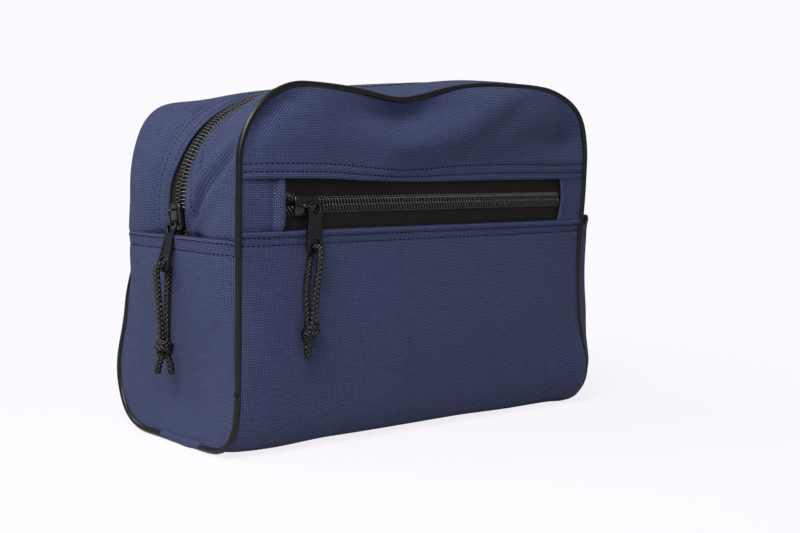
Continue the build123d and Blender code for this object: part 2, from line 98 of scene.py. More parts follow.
def fresh_tree(owner):
    """The node tree of a material or a world, emptied."""
    owner.use_nodes = True
    owner.node_tree.nodes.clear()
    return owner.node_tree


def node(tree, kind, inputs=(), **settings):
    """A new node: its settings, and its inputs by name or number, linked to a socket or set."""
    made = tree.nodes.new(kind)
    for setting, value in settings.items():
        setattr(made, setting, value)
    for key, value in dict(inputs).items():
        if isinstance(value, bpy.types.NodeSocket):
            tree.links.new(value, made.inputs[key])
        else:
            made.inputs[key].default_value = value
    return made


def maths(tree, operation, *values):
    """The output of a Math node whose inputs are sockets or numbers."""
    return node(tree, "ShaderNodeMath", enumerate(values), operation=operation).outputs[0]


def white_to_camera(tree, output, dim, seen):
    """Shows one shader to the camera, also through glass, and lights the bag with a dimmer one."""
    rays = node(tree, "ShaderNodeLightPath").outputs
    direct = maths(tree, "MAXIMUM", rays["Is Camera Ray"], rays["Is Transmission Ray"])
    either = node(tree, "ShaderNodeMixShader", {0: direct, 1: dim.outputs[0], 2: seen.outputs[0]})
    node(tree, output, {"Surface": either.outputs[0]})


scene.world = bpy.data.worlds.new("studio")
tree = fresh_tree(scene.world)
white = node(tree, "ShaderNodeBackground", {"Color": WHITE})
dim_sky = node(tree, "ShaderNodeBackground", {"Color": (0.93, 0.95, 1, 1), "Strength": 0.28})
white_to_camera(tree, "ShaderNodeOutputWorld", dim_sky, white)

table = bpy.data.materials.new("pale_table")
tree = fresh_tree(table)
white = node(tree, "ShaderNodeEmission", {"Color": WHITE})
paint = node(tree, "ShaderNodeBsdfDiffuse", {"Color": (0.86, 0.85, 0.88, 1)})
dim_paint = node(tree, "ShaderNodeBsdfDiffuse", {"Color": (0.56, 0.55, 0.58, 1)})
spot = node(tree, "ShaderNodeTexCoord").outputs["Object"]
reach = node(tree, "ShaderNodeVectorMath", {0: spot}, operation="LENGTH").outputs["Value"]
fade = node(tree, "ShaderNodeMapRange", {"Value": reach, "From Min": 0.14, "From Max": 0.42, "To Min": 0.86})
seen = node(tree, "ShaderNodeMixShader", {0: fade.outputs[0], 1: paint.outputs[0], 2: white.outputs[0]})
white_to_camera(tree, "ShaderNodeOutputMaterial", dim_paint, seen)
bpy.ops.mesh.primitive_plane_add(size=12)
floor = bpy.context.object
floor.name = "floor"
floor.data.materials.append(table)

# Navy cloth. The bag is sewn from plain-woven polyester with a coated back; its two thread
# directions catch the light differently, and folds and handling leave it slightly uneven.


def new_tree(kind, name, inputs, outputs):
    """A node group with named sockets, as its tree, what it is given and what it gives out."""
    tree = bpy.data.node_groups.new(name, kind)
    for socket, (value_kind, value) in inputs.items():
        socket_type = "NodeSocket" + value_kind
        made = tree.interface.new_socket(socket, in_out="INPUT", socket_type=socket_type)
        if value is not None:
            made.default_value = value
    for socket, value_kind in outputs.items():
        tree.interface.new_socket(socket, in_out="OUTPUT", socket_type="NodeSocket" + value_kind)
    return tree, node(tree, "NodeGroupInput").outputs, node(tree, "NodeGroupOutput").inputs


def mixed(tree, share, first, second):
    """Two colours mixed by a share; each is a socket or a colour."""
    return node(tree, "ShaderNodeMix", {0: share, 6: first, 7: second}, data_type="RGBA").outputs[2]


# Plain weave on the piece's cloth map: raised threads that pass over and under.
weave, given, result = new_tree(
    "ShaderNodeTree",
    "weave",
    {"Map": ("Vector", None), "Thread": ("Float", 0.5), "Slub": ("Float", 0.3)},
    {"Height": "Float", "Warp": "Float"},
)
split = node(weave, "ShaderNodeSeparateXYZ", {0: given["Map"]})
waves, slubs = [], []
for axis, stretch in (("X", (1.6, 0.09, 1)), ("Y", (0.09, 1.6, 1))):
    half_turns = maths(weave, "MULTIPLY", split.outputs[axis], math.pi)
    waves.append(maths(weave, "SINE", maths(weave, "DIVIDE", half_turns, given["Thread"])))
    drawn_out = node(weave, "ShaderNodeVectorMath", {0: given["Map"], 1: stretch}, operation="MULTIPLY")
    noise = node(weave, "ShaderNodeTexNoise", {"Vector": drawn_out.outputs[0], "Scale": 1, "Detail": 2})
    slubs.append(noise.outputs["Fac"])
over = maths(weave, "MULTIPLY", *waves)
crest = maths(weave, "POWER", maths(weave, "ABSOLUTE", over), 0.6)
warp = maths(weave, "GREATER_THAN", over, 0)
slub = maths(weave, "SUBTRACT", mixed(weave, warp, slubs[1], slubs[0]), 0.5)
uneven = maths(weave, "MULTIPLY", slub, given["Slub"])
weave.links.new(maths(weave, "ADD", crest, uneven), result["Height"])
weave.links.new(warp, result["Warp"])

# Soft patches of wear and rubbing over the whole bag, in the object's own space.
handling, given, result = new_tree(
    "ShaderNodeTree",
    "handling",
    {"Size": ("Float", 30.0), "Strength": ("Float", 0.2)},
    {"Patches": "Float"},
)
spot = node(handling, "ShaderNodeTexCoord").outputs["Object"]
noise = node(
    handling, "ShaderNodeTexNoise", {"Vector": spot, "Scale": given["Size"], "Detail": 4, "Roughness": 0.6}
)
centred = maths(handling, "SUBTRACT", noise.outputs["Fac"], 0.5)
patches = maths(handling, "ADD", maths(handling, "MULTIPLY", centred, given["Strength"]), 1.0)
handling.links.new(patches, result["Patches"])


def finished(tree, inputs, height, bump):
    """Ends a material in its shader, with the relief of a height that rises by bump, in mm."""
    rise = node(tree, "ShaderNodeBump", {"Distance": bump * MM, "Height": height}).outputs[0]
    surface = node(tree, "ShaderNodeBsdfPrincipled", {**inputs, "Normal": rise}).outputs[0]
    node(tree, "ShaderNodeOutputMaterial", {"Surface": surface})


def woven(name, low, high, thread, slub, roughness, sheen, bump, tint=(0.5, 0.6, 1), contrast=0.45):
    """A woven cloth: its low colour is painted shade in the hollows, its high one a painted highlight on the
    crests, sizes in mm.
    """
    material = bpy.data.materials.new(name)
    tree = fresh_tree(material)
    cloth_map = node(tree, "ShaderNodeUVMap", uv_map="cloth").outputs[0]
    threads = node(
        tree, "ShaderNodeGroup", {"Map": cloth_map, "Thread": thread, "Slub": slub}, node_tree=weave
    ).outputs
    worn = node(tree, "ShaderNodeGroup", node_tree=handling).outputs[0]
    # Painted light: the crests take the high colour as a painted highlight, the hollows the low one as
    # painted shade, and the warp threads get less of the highlight.
    crest = maths(tree, "POWER", maths(tree, "MAXIMUM", threads["Height"], 0.0), 2.6)
    crossing = maths(tree, "ADD", maths(tree, "MULTIPLY", threads["Warp"], -contrast), 1.0)
    share = maths(tree, "MINIMUM", maths(tree, "MULTIPLY", crest, crossing), 1.0)
    colour = mixed(tree, share, (*low, 1), (*high, 1))
    lit = node(tree, "ShaderNodeVectorMath", {0: colour, "Scale": worn}, operation="SCALE")
    finish = {
        "Base Color": lit.outputs[0],
        "Roughness": roughness,
        "Sheen Weight": sheen,
        "Sheen Roughness": 0.45,
        "Sheen Tint": (*tint, 1),
        "Specular IOR Level": 0.18,
    }
    finished(tree, finish, threads["Height"], bump)
    return material


# For the navy cloth and its coated back, low is painted shade in the weave's hollows and high a painted
# highlight on its crests.
navy_cloth = woven(
    "navy_cloth",
    low=(0.005, 0.008, 0.03),
    high=(0.136, 0.17, 0.352),
    thread=0.76,
    slub=0.5,
    roughness=0.6,
    sheen=0.07,
    bump=0.24,
    contrast=0.62,
)
cloth_back = woven(
    "coated_back",
    low=(0.008, 0.009, 0.014),
    high=(0.016, 0.018, 0.026),
    thread=0.72,
    slub=0.3,
    roughness=0.5,
    sheen=0.05,
    bump=0.04,
)
MIDDLE = (0, 0, 92.0)


def points_from(*coordinates):
    """Points from their coordinates, each a number or an array."""
    return np.stack(np.broadcast_arrays(*coordinates), -1).astype(float)


def grid_normals(points, centre):
    """Unit normals of a grid of points, on the side away from a centre."""
    normals = np.cross(np.gradient(points, axis=1), np.gradient(points, axis=0))
    normals /= np.maximum(np.linalg.norm(normals, axis=-1, keepdims=True), 1e-9)
    facing = np.sum(normals * (points - np.array(centre, float)))
    return normals if facing > 0 else -normals


def mesh_piece(name, vertices, faces, materials, uvs=None, slots=None):
    """A smooth mesh object at the origin from points in mm, its faces turned outwards."""
    mesh = bpy.data.meshes.new(name)
    mesh.from_pydata([tuple(point) for point in np.asarray(vertices) * MM], [], faces)
    for material in materials:
        mesh.materials.append(material)
    if slots is not None:
        mesh.polygons.foreach_set("material_index", slots)
    if uvs is not None:
        layer = mesh.uv_layers.new(name="cloth")
        corners = np.zeros(len(mesh.loops), np.int32)
        mesh.loops.foreach_get("vertex_index", corners)
        layer.data.foreach_set("uv", np.asarray(uvs, float)[corners].ravel())
    shell = bmesh.new()
    shell.from_mesh(mesh)
    bmesh.ops.recalc_face_normals(shell, faces=shell.faces)
    shell.to_mesh(mesh)
    shell.free()
    mesh.shade_smooth()
    return shown(name, mesh)


def cloth_piece(name, points, uvs, thickness, face, backing, centre=MIDDLE):
    """Cloth from a grid of outer points in mm, with its inner side and a rounded rim."""
    rows, columns = points.shape[:2]
    count = rows * columns
    index = np.arange(count).reshape(rows, columns)
    rim = np.concatenate([index[0, :-1], index[:-1, -1], index[-1, :0:-1], index[:0:-1, 0]])
    thick = np.broadcast_to(thickness, (rows, columns))[..., None]
    away = np.zeros_like(points)
    away[0] += points[0] - points[1]
    away[-1] += points[-1] - points[-2]
    away[:, 0] += points[:, 0] - points[:, 1]
    away[:, -1] += points[:, -1] - points[:, -2]
    away = away.reshape(-1, 3)[rim]
    away /= np.maximum(np.linalg.norm(away, axis=1, keepdims=True), 1e-9)
    outer = points.reshape(-1, 3)
    inner = (points - grid_normals(points, centre) * thick).reshape(-1, 3)
    middle = (outer[rim] + inner[rim]) / 2 + away * thick.reshape(-1, 1)[rim] * 0.45
    faces, slots = [], []
    for row in range(rows - 1):
        for column in range(columns - 1):
            a, b = index[row, column], index[row, column + 1]
            c, d = index[row + 1, column + 1], index[row + 1, column]
            faces += [(a, b, c, d), (a + count, d + count, c + count, b + count)]
            slots += [0, 1]
    for step, start in enumerate(rim):
        after = (step + 1) % len(rim)
        end = rim[after]
        first, second = 2 * count + step, 2 * count + after
        faces += [(start, end, second, first), (first, second, end + count, start + count)]
        slots += [0, 0]
    flat = np.asarray(uvs, float).reshape(-1, 2)
    vertices = np.concatenate([outer, inner, middle])
    return mesh_piece(name, vertices, faces, [face, backing], np.concatenate([flat, flat, flat[rim]]), slots)


def place(item, body, slot, *nodes):
    """Rides on a body and stands for CAD nodes, which it hides; its slot is not used."""
    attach(item, body)
    if nodes:
        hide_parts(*nodes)


# Pattern and lie. The bag is sewn to a neat pattern, an upright box with rounded corners. Filled and
# handled, it dips in the middle of its top, stands up towards the right and has squarer feet.

HALF_WIDTH = 124.0
HALF_DEPTH = 52.0
SEAM_TOP = 182.4
SEAM_FOOT = 2.2
TOP_CORNER = 38.0
FOOT_CORNER = 30.0
BAND_EDGE = 136.5
corner_x = HALF_WIDTH - TOP_CORNER
corner_z = SEAM_TOP - TOP_CORNER
foot_y = HALF_DEPTH - FOOT_CORNER
foot_z = SEAM_FOOT + FOOT_CORNER


def bell(value, middle, reach):
    """One where value is at the middle, and falling smoothly to nothing past its reach."""
    return np.exp(-(((value - middle) / reach) ** 2))


def ease(value):
    """Zero below zero, one above one and smooth between."""
    share = np.clip(value, 0, 1)
    return share * share * (3 - 2 * share)


def squared(y, z, way, power):
    """A round foot of the pattern, at the front or the back, drawn out to a squarer one."""
    across = np.maximum((way * y - foot_y) / FOOT_CORNER, 0)
    down = np.maximum((foot_z - z) / FOOT_CORNER, 0)
    blunt = (across**power + down**power) ** (1 / power)
    reach = np.where((across > 0) & (down > 0), np.hypot(across, down) / np.maximum(blunt, 1e-9), 1)
    squared_y = np.where(across > 0, way * (foot_y + FOOT_CORNER * across * reach), y)
    return squared_y, np.where(down > 0, foot_z - FOOT_CORNER * down * reach, z)


def settle(points):
    """Moves points of the pattern, in mm, to where the filled and handled bag lies."""
    x, y, z = np.moveaxis(np.array(points, float), -1, 0)
    front = 1 - ease((y + HALF_DEPTH) / 40)
    back = ease((y - 8) / 40)
    edge = np.abs(x / HALF_WIDTH) ** 3
    left, right = np.where(x < 0, edge, 0), np.where(x > 0, edge, 0)

    # The top dips left of its middle in front and at its left corner behind, and rises to the right.
    wave = 1.2 * bell(x, -86, 26) + ease((x + 30) / 80) * (5.0 + 0.8 * front)
    wave -= 4.6 * bell(x, -20, 26) * front + 2 * bell(x, 99, 17) * front
    wave -= 3.5 * (1 - front) * bell(x, -96, 27) + 5.8 * back * bell(x, -86, 34)
    shift_z = wave * np.clip((z - BAND_EDGE) / 46, 0, 1.2) ** 0.7
    # The side hems, the band's hem and the front's foot aren't quite level.
    beside = ease((y + 53) / 6) * (1 - ease((y + 40) / 80)) * bell(z, 110, 16)
    shift_z += np.where(x < 0, 1.2, 7.0) * beside * np.minimum(edge, 1) ** 3
    hem = 1.3 * bell(x, -114, 24) + 1.6 * bell(x, -76, 30) - 0.8 * bell(x, -10, 55)
    shift_z += front * hem * bell(z, 139, 9)
    shift_z += 1.6 * front * ease((x + 95) / 35) * ease((75 - x) / 50) * (1 - ease(z / 26))

    # The back's foot bellies out, and the front leans back at its dip and out at its right foot.
    shift_y = 1.5 * bell(x, -20, 30) * front * ease((z - 150) / 30) + 5.5 * bell(z, 32, 22) * back
    shift_y -= 2.5 * bell(z, 26, 17) * front * ease(x / HALF_WIDTH)

    # The right edge follows what fills the bag; the left one stands out at its foot and is drawn in
    # high up behind.
    shift_x = right * front * (4.2 * bell(z, 18, 17) + 3.2 * bell(z, 5, 7) - 3.5 * bell(z, 84, 34))
    shift_x -= left * (back * 2.5 * bell(z, 32, 26) + 3 * bell(z, 2, 15))
    shift_x += left * 8 * ease((y - 42) / 9) * ease((z - 66) / 44)
    shift_x += 2.4 * front * ease((x - 60) / 40) * bell(z, 171, 13)

    squared_y, squared_z = squared(*squared(y, z, -1, 3.8), 1, 2.6)
    return points_from(x + shift_x, squared_y + shift_y, np.maximum(squared_z + shift_z, 0.3))


def ripple(across, along, seed, size):
    """Slight unevenness of handled cloth: a sum of long waves from a fixed seed."""
    draw = np.random.default_rng(seed)
    wave_count = 7
    total = np.zeros(np.broadcast(across, along).shape)
    for _ in range(wave_count):
        turn = draw.uniform(0, math.tau)
        length = size * draw.uniform(0.6, 1.8)
        phase = draw.uniform(0, math.tau)
        total += np.sin((across * math.cos(turn) + along * math.sin(turn)) / length * math.tau + phase)
    return total / wave_count


# Piping. A black vinyl cord with a soft shine is sewn into the seam that runs over the front,
# down both sides, under them and over the back; its joint under the left side is wrapped in cloth.

PIPING = 1.6
TUBE_SIDES = 14
SEAM_FOLD = (Vector((0, -0.052, 0.1345)), Vector((0, -0.6, 0.8)) * 0.0054)


def lengths(path):
    """How far along a path each of its points lies."""
    return np.concatenate([[0], np.cumsum(np.linalg.norm(np.diff(path, axis=0), axis=1))])


def quarter_turn(centre, first, second, count):
    """Points round a centre, from its first radius vector to its second."""
    turn = np.radians(np.linspace(0, 90, count))[:, None]
    return np.array(centre) + np.cos(turn) * np.array(first) + np.sin(turn) * np.array(second)


def run_points(start, end, step=3.0):
    """Points along a straight run, about a step apart, without its last one."""
    start, end = np.array(start, float), np.array(end, float)
    count = max(2, int(np.linalg.norm(end - start) / step))
    return start + (end - start) * np.linspace(0, 1, count, endpoint=False)[:, None]


def seam_over(y):
    """The seam over the front or the back, from the left foot of the side to the right one."""
    left = quarter_turn((-corner_x, y, corner_z), (-TOP_CORNER, 0, 0), (0, 0, TOP_CORNER), 22)
    right = quarter_turn((corner_x, y, corner_z), (0, 0, TOP_CORNER), (TOP_CORNER, 0, 0), 22)
    rise = run_points((-HALF_WIDTH, y, foot_z), (-HALF_WIDTH, y, corner_z))
    top = run_points((-corner_x, y, SEAM_TOP), (corner_x, y, SEAM_TOP))
    fall = run_points((HALF_WIDTH, y, corner_z), (HALF_WIDTH, y, foot_z))
    return np.concatenate([rise, left[:-1], top, right[:-1], fall])


def seam_under(x):
    """The seam under one side, from the front to the back."""
    front = quarter_turn((x, -foot_y, foot_z), (0, -FOOT_CORNER, 0), (0, 0, -FOOT_CORNER), 16)
    back = quarter_turn((x, foot_y, foot_z), (0, 0, -FOOT_CORNER), (0, FOOT_CORNER, 0), 16)
    base = run_points((x, -foot_y, SEAM_FOOT), (x, foot_y, SEAM_FOOT))
    return np.concatenate([front[:-1], base, back[:-1]])


def path_frames(path, closed=False):
    """Tangent and two steady cross directions at each point of a path."""
    if closed:
        tangent = np.roll(path, -1, 0) - np.roll(path, 1, 0)
    else:
        tangent = np.gradient(path, axis=0)
    tangent /= np.linalg.norm(tangent, axis=1, keepdims=True)
    side = np.cross(tangent[0], (0.31, 0.9, 0.2))
    side /= np.linalg.norm(side)
    sides = [side]
    for direction in tangent[1:]:
        side = sides[-1] - direction * np.dot(sides[-1], direction)
        sides.append(side / np.linalg.norm(side))
    sides = np.array(sides)
    return tangent, sides, np.cross(tangent, sides)


def rings_round(path, side, other, radius, count):
    """A ring of points round each point of a path."""
    turn = np.linspace(0, math.tau, count, endpoint=False)[:, None]
    around = np.cos(turn) * side[:, None] + np.sin(turn) * other[:, None]
    return path[:, None] + radius[:, None, None] * around


def lofted(sections, twist=None):
    """Vertices and faces of a skin through closed sections of equal count. Its ends are capped, or,
    with a twist, its last section is joined to its first one, moved on by so many points."""
    count, last = len(sections[0]), len(sections) - 1
    capped = twist is None
    faces = [tuple(range(count))[::-1]] if capped else []
    for ring in range(last if capped else last + 1):
        after, moved = (ring + 1, 0) if ring < last else (0, twist)
        for step in range(count):
            ahead = (step + 1) % count
            c, d = (after * count + (corner + moved) % count for corner in (ahead, step))
            faces.append((ring * count + step, ring * count + ahead, c, d))
    if capped:
        faces.append(tuple(range(last * count, (last + 1) * count)))
    return np.concatenate(sections), faces


def tube_piece(name, path, radius, material, closed=False):
    """A round cord of plain surface along a path in mm, with domed ends where it is open."""
    tangent, side, other = path_frames(path, closed)
    radius = np.broadcast_to(radius, len(path)).astype(float)
    if not closed:
        cap = np.array([0.05, 0.55, 0.86])
        lead = np.sqrt(1 - cap**2)
        head = path[0] - tangent[0] * (lead * radius[0])[:, None]
        tail = path[-1] + tangent[-1] * (lead[::-1] * radius[-1])[:, None]
        path = np.concatenate([head, path, tail])
        radius = np.concatenate([cap * radius[0], radius, cap[::-1] * radius[-1]])
        side, other = (np.concatenate([v[:1].repeat(3, 0), v, v[-1:].repeat(3, 0)]) for v in (side, other))
    rings = rings_round(path, side, other, radius, TUBE_SIDES)
    around = np.linspace(0, math.tau, TUBE_SIDES, endpoint=False) * radius.mean()
    uvs = points_from(lengths(path)[:, None], around).reshape(-1, 2)
    twist = int(np.argmin(np.linalg.norm(rings[0] - rings[-1][0], axis=1))) if closed else None
    return mesh_piece(name, *lofted(rings, twist), [material], uvs)


def bend_with_flap(item, fold, slot, *nodes):
    """Cloth, cord or zip near where the flap folds away from the bag: hides the CAD nodes it stands for and
    bakes its place into its mesh; its fold and slot are not used.
    """
    if nodes:
        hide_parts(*nodes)
    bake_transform(item)


def smooth_material(name, colour, roughness, coat, bump_size, bump, patches=0.25, shine=0.5):
    """Moulded or painted black: a fine uneven skin under a thin shine."""
    material = bpy.data.materials.new(name)
    tree = fresh_tree(material)
    spot = node(tree, "ShaderNodeTexCoord").outputs["Object"]
    grain = node(tree, "ShaderNodeTexNoise", {"Vector": spot, "Scale": 1 / (bump_size * MM), "Detail": 3})
    worn = node(tree, "ShaderNodeGroup", {"Size": 90, "Strength": patches}, node_tree=handling)
    low, high = ((*(share * part for part in colour), 1) for share in (0.7, 1.3))
    finish = {
        "Base Color": mixed(tree, grain.outputs["Fac"], low, high),
        "Roughness": maths(tree, "MULTIPLY", worn.outputs[0], roughness),
        "Coat Weight": coat,
        "Coat Roughness": 0.3,
        "Specular IOR Level": shine,
    }
    finished(tree, finish, grain.outputs["Fac"], bump)
    return material


vinyl = smooth_material(
    "black_vinyl", (0.005, 0.0045, 0.004), roughness=0.3, coat=0.12, bump_size=1.2, bump=0.03, shine=0.26
)
seam_loop = np.concatenate(
    [
        seam_over(-HALF_DEPTH),
        seam_under(HALF_WIDTH),
        seam_over(HALF_DEPTH)[::-1],
        seam_under(-HALF_WIDTH)[::-1],
    ]
)
piping = tube_piece("piping", settle(seam_loop), PIPING, vinyl, closed=True)
bend_with_flap(piping, SEAM_FOLD, "black_piping", "piping_loop", "piping_front")

joint = run_points((-HALF_WIDTH, -23.5, SEAM_FOOT), (-HALF_WIDTH, 12.5, SEAM_FOOT), 2)
wrapped = settle(joint)
wrapped[:, 2] += 0.45 + 0.3 * np.sin(joint[:, 1] / 5)
rolls = 2.15 + 0.15 * np.sin(wrapped[:, 1] / 3)
joint_cover = tube_piece("piping_joint_cover_cloth", wrapped, rolls, navy_cloth)
place(joint_cover, "bag", "navy_cloth", "piping_joint_cover")

# Front, base and back. One length of cloth runs from the folded hem under the pocket's mouth,
# round the base and up the back; stitching holds the hem. What it carries swells it between seams.

CLOTH = 0.8
LIP = 1.65
HEM_LAYER = 12.0
HEM_ROWS = 14.0
HEM_EDGE = 111.4
SIDE_EDGE = 106.4
FRONT_ROWS = (139.0, 143.0, 108.4, 104.6)
SIDE_ROWS = (104.9, 99.6)
CLEAR_OF_TABLE = 0.35
edge_steps = np.concatenate([np.linspace(1, 3.4, 16), np.full(58, 3.4), np.linspace(3.4, 1, 16)])
EDGE_SHARES = np.concatenate([[0], np.cumsum(edge_steps)]) / np.sum(edge_steps)


def seam_distance(x, z):
    """How far a place on the front or back lies inside the seam, in mm."""
    in_corner = (np.abs(x) > corner_x) & (z > corner_z)
    round_gap = TOP_CORNER - np.hypot(np.abs(x) - corner_x, z - corner_z)
    return np.where(in_corner, round_gap, np.minimum(HALF_WIDTH - np.abs(x), SEAM_TOP - z))


def held(gap, reach):
    """None of a swell at a seam, and nearly all of it a few reaches away."""
    return 1 - np.exp(-gap / reach)


def stitch_dent(height, rows):
    """The shallow groove that each row of stitches pulls into a hem."""
    return sum(0.4 * bell(height, row, 1.1) for row in rows)


def front_swell(x, z):
    """How far the front stands out of the plane of its seam, in mm."""
    gap = np.maximum(seam_distance(x, z), 0)
    full = 1.0 + 4.2 * bell(z, 52, 34) + 3.4 * bell(z, 160 - 21 * ease((-x - 5) / 50), 17)
    swell = full * held(gap, 9)
    # The dip in the top edge, and the roll of cloth below it.
    swell -= 7.8 * bell(x, -17, 31) * bell(gap, 10, 7)
    swell += 1.8 * bell(x, -20, 42) * bell(gap, 25, 9)
    # The left top corner is drawn in beside the piping and puffed below.
    swell -= 4.2 * bell(x, -106, 20) * bell(z, 168, 18) * bell(gap, 6.5, 4.5)
    swell += 1.8 * bell(x, -80, 14) * bell(z, 166, 15)
    # A slanting crease right of the dip, with a ridge beside it.
    off, along = -0.46 * (x - 52) + 0.89 * (z - 165), 0.89 * (x - 52) + 0.46 * (z - 165)
    swell -= 2.2 * bell(off, 0, 7) * bell(along, 0, 26) * ease(gap / 8)
    swell += 1.2 * bell(off, 13, 8) * bell(along, -8, 24) * ease(gap / 8)
    # The band leans out on the right, and less so at its far corner.
    swell += 7.5 * ease((x + 12) / 44) * ease((z - 146) / 27) * held(gap, 4)
    swell += (2.2 - 12 * ease((x - 38) / 80)) * ease((z - 144) / 14) * held(gap, 6)
    swell -= 1.8 * bell(x, 100, 22) * bell(z, 160, 20) * bell(gap, 10, 9)
    # The right foot is pushed out, the hem is drawn in below, and all of it is slightly uneven.
    swell += 5.0 * bell(x, 119, 11) * bell(z, 22, 17) * held(gap, 2.5)
    swell -= 0.5 * bell(z, 101, 9)
    swell += 0.9 * ripple(x, z, 4, 70) * held(gap, 14) * ease((np.abs(z - 124) - 16) / 20)
    return swell + 0.8 * bell(z, HEM_EDGE - 1.7, 1.4) - stitch_dent(z, FRONT_ROWS)


def back_swell(x, z):
    """How far the back stands out of the plane of its seam, in mm."""
    gap = np.maximum(seam_distance(x, z), 0)
    return (4.0 + 2.5 * bell(z, 60, 45) + 1.6 * ripple(x, z, 9, 90)) * held(gap, 11)


def wrap_rows():
    """The wrap's path from the front hem round to the top of the back: y, z and half width."""
    turn = np.radians(np.linspace(0, 90, 19))[1:]
    cosine, sine = np.cos(turn), np.sin(turn)
    below = HEM_EDGE - HEM_ROWS
    down = np.concatenate([np.linspace(HEM_EDGE, below, 20)[:-1], np.linspace(below, foot_z, 24)])
    parts = (
        (-HALF_DEPTH, down, HALF_WIDTH),
        (-foot_y - FOOT_CORNER * cosine, foot_z - FOOT_CORNER * sine, HALF_WIDTH),
        (np.linspace(-foot_y, foot_y, 14)[1:], SEAM_FOOT, HALF_WIDTH),
        (foot_y + FOOT_CORNER * sine, foot_z - FOOT_CORNER * cosine, HALF_WIDTH),
        (HALF_DEPTH, np.linspace(foot_z, corner_z, 36)[1:], HALF_WIDTH),
        (HALF_DEPTH, corner_z + TOP_CORNER * sine, corner_x + TOP_CORNER * cosine),
    )
    return np.concatenate([points_from(*part) for part in parts])


rows = wrap_rows()
y, z, half = (part[:, None] for part in rows.T)
x = -half + 2 * half * EDGE_SHARES
facing = np.clip((np.abs(y) - foot_y) / FOOT_CORNER, 0, 1)
drop = np.sqrt(1 - facing**2)
height = np.maximum(z, foot_z)
out = np.where(y < 0, front_swell(x, height), back_swell(x, height)) * facing
out += 1.7 * held(half - np.abs(x), 9) * (1 - facing) * (0.35 + 0.65 * drop)
wrap = points_from(x, y + np.sign(y) * out * facing, np.maximum(z - out * drop, CLEAR_OF_TABLE))
path = lengths(rows[:, :2])[:, None]
thickness = np.where(path < HEM_LAYER, LIP, CLOTH)
body_wrap = cloth_piece(
    "body_wrap_cloth", settle(wrap), points_from(x, -path), thickness, navy_cloth, cloth_back
)
place(body_wrap, "bag", "navy_cloth", "body_wrap")

# Front top band. One piece of cloth closes the front above the pocket's mouth. Its lower edge is a
# folded hem, sewn with two rows, and it folds forward with the flap when the main zip is open.

turn = np.radians(np.linspace(0, 90, 54))
upright = np.linspace(BAND_EDGE, corner_z, 13)[:-1]
z = np.concatenate([upright, corner_z + TOP_CORNER * np.sin(turn)])[:, None]
half = np.concatenate([np.full(len(upright), HALF_WIDTH), corner_x + TOP_CORNER * np.cos(turn)])[:, None]
x = -half + 2 * half * EDGE_SHARES
band = points_from(x, -HALF_DEPTH - front_swell(x, z), z)
thickness = np.where(z < BAND_EDGE + HEM_LAYER, LIP, CLOTH)
top_band = cloth_piece(
    "front_top_band_cloth", settle(band), points_from(x, z), thickness, navy_cloth, cloth_back
)
place(top_band, "front_flap", "navy_cloth", "front_top_band")

# Side panels. Each is a U of the same cloth, sewn into the seam all round, with a folded hem along
# its top over the foot of the zip gusset. The right one gapes near the front.


def side_swell(y, z, side, half=HALF_DEPTH):
    """How far a side stands out of its seam's plane, in mm: full near the front, slacker behind."""
    gap = np.minimum(half - np.abs(y), 60)
    deep = np.sign(y) * (HALF_DEPTH - gap)
    front_gap, back_gap = HALF_DEPTH + deep, HALF_DEPTH - deep
    if side > 0:
        full = 16.5 * held(front_gap, 3.0) * (1 - 0.68 * ease((deep + 46) / 42))
        full *= 0.6 + 0.4 * ease((z - 20) / 40)
        behind = 0
    else:
        full = (1.0 + 5.8 * ease((z - 4) / 108)) * held(front_gap, 6.5) * (1 - 0.45 * ease((deep + 38) / 85))
        behind = 3.8 * ease((z - 60) / 36) * held(back_gap, 3) * np.exp(-back_gap / 20)
    swell = full * held(back_gap, 8) * ease((z - SEAM_FOOT) / 26) ** 0.6 + behind
    swell += 0.9 * ripple(y, z, 12 + side, 60) * held(gap, 12) * ease((z - 4) / 20)
    return swell + 0.8 * bell(z, SIDE_EDGE - 1.6, 1.4) - stitch_dent(z, SIDE_ROWS)


below = SIDE_EDGE - HEM_ROWS
upright = np.concatenate([np.linspace(SIDE_EDGE, below, 18)[:-1], np.linspace(below, foot_z, 22)[:-1]])
turn = np.radians(np.linspace(0, 90, 26))
z = np.concatenate([upright, foot_z - FOOT_CORNER * np.sin(turn)])[:, None]
half = np.concatenate([np.full(len(upright), HALF_DEPTH), foot_y + FOOT_CORNER * np.cos(turn)])[:, None]
y = -half + 2 * half * EDGE_SHARES[::2]
thickness = np.where(z > SIDE_EDGE - HEM_LAYER, LIP, CLOTH)
for side, name in ((-1, "left"), (1, "right")):
    grid = settle(points_from(side * (HALF_WIDTH + side_swell(y, z, side, half)), y, z))
    panel = cloth_piece(
        f"side_panel_{name}_cloth", grid, points_from(y, z), thickness, navy_cloth, cloth_back
    )
    place(panel, "bag", "navy_cloth", f"side_panel_{name}")


# Zip gusset. Two strips of the cloth run over the bag from side to side, each sewn into the seam
# by its outer edge and folded back along the zip; slack cloth between puckers towards the corners.

TRACK_TOP = 181.0
TRACK_RADIUS = 60.0
TRACK_CENTRE_X = 65.4032
TRACK_CENTRE_Z = 121.0
FOLD_GAP = {1: 10.2, -1: 6.4}
FOLD_ROUND = 0.9
HEM_START = 0.76
GUSSET_FOOT = 100.0
GUSSET_HEM = 13.0
GUSSET_FOLD = (Vector((0, -0.052, 0.1255)), Vector((0, 0.198, 0.98)) * 0.018)
ACROSS = np.linspace(0, 1, 30)
# Each crease's height at the seam and at the zip, its width and how far it stands up.
CREASES = ((164, 120, 6, 3.4), (145, 106, 6, 1.2), (181, 146, 6, 1.8), (158, 114, 3, 1.7))


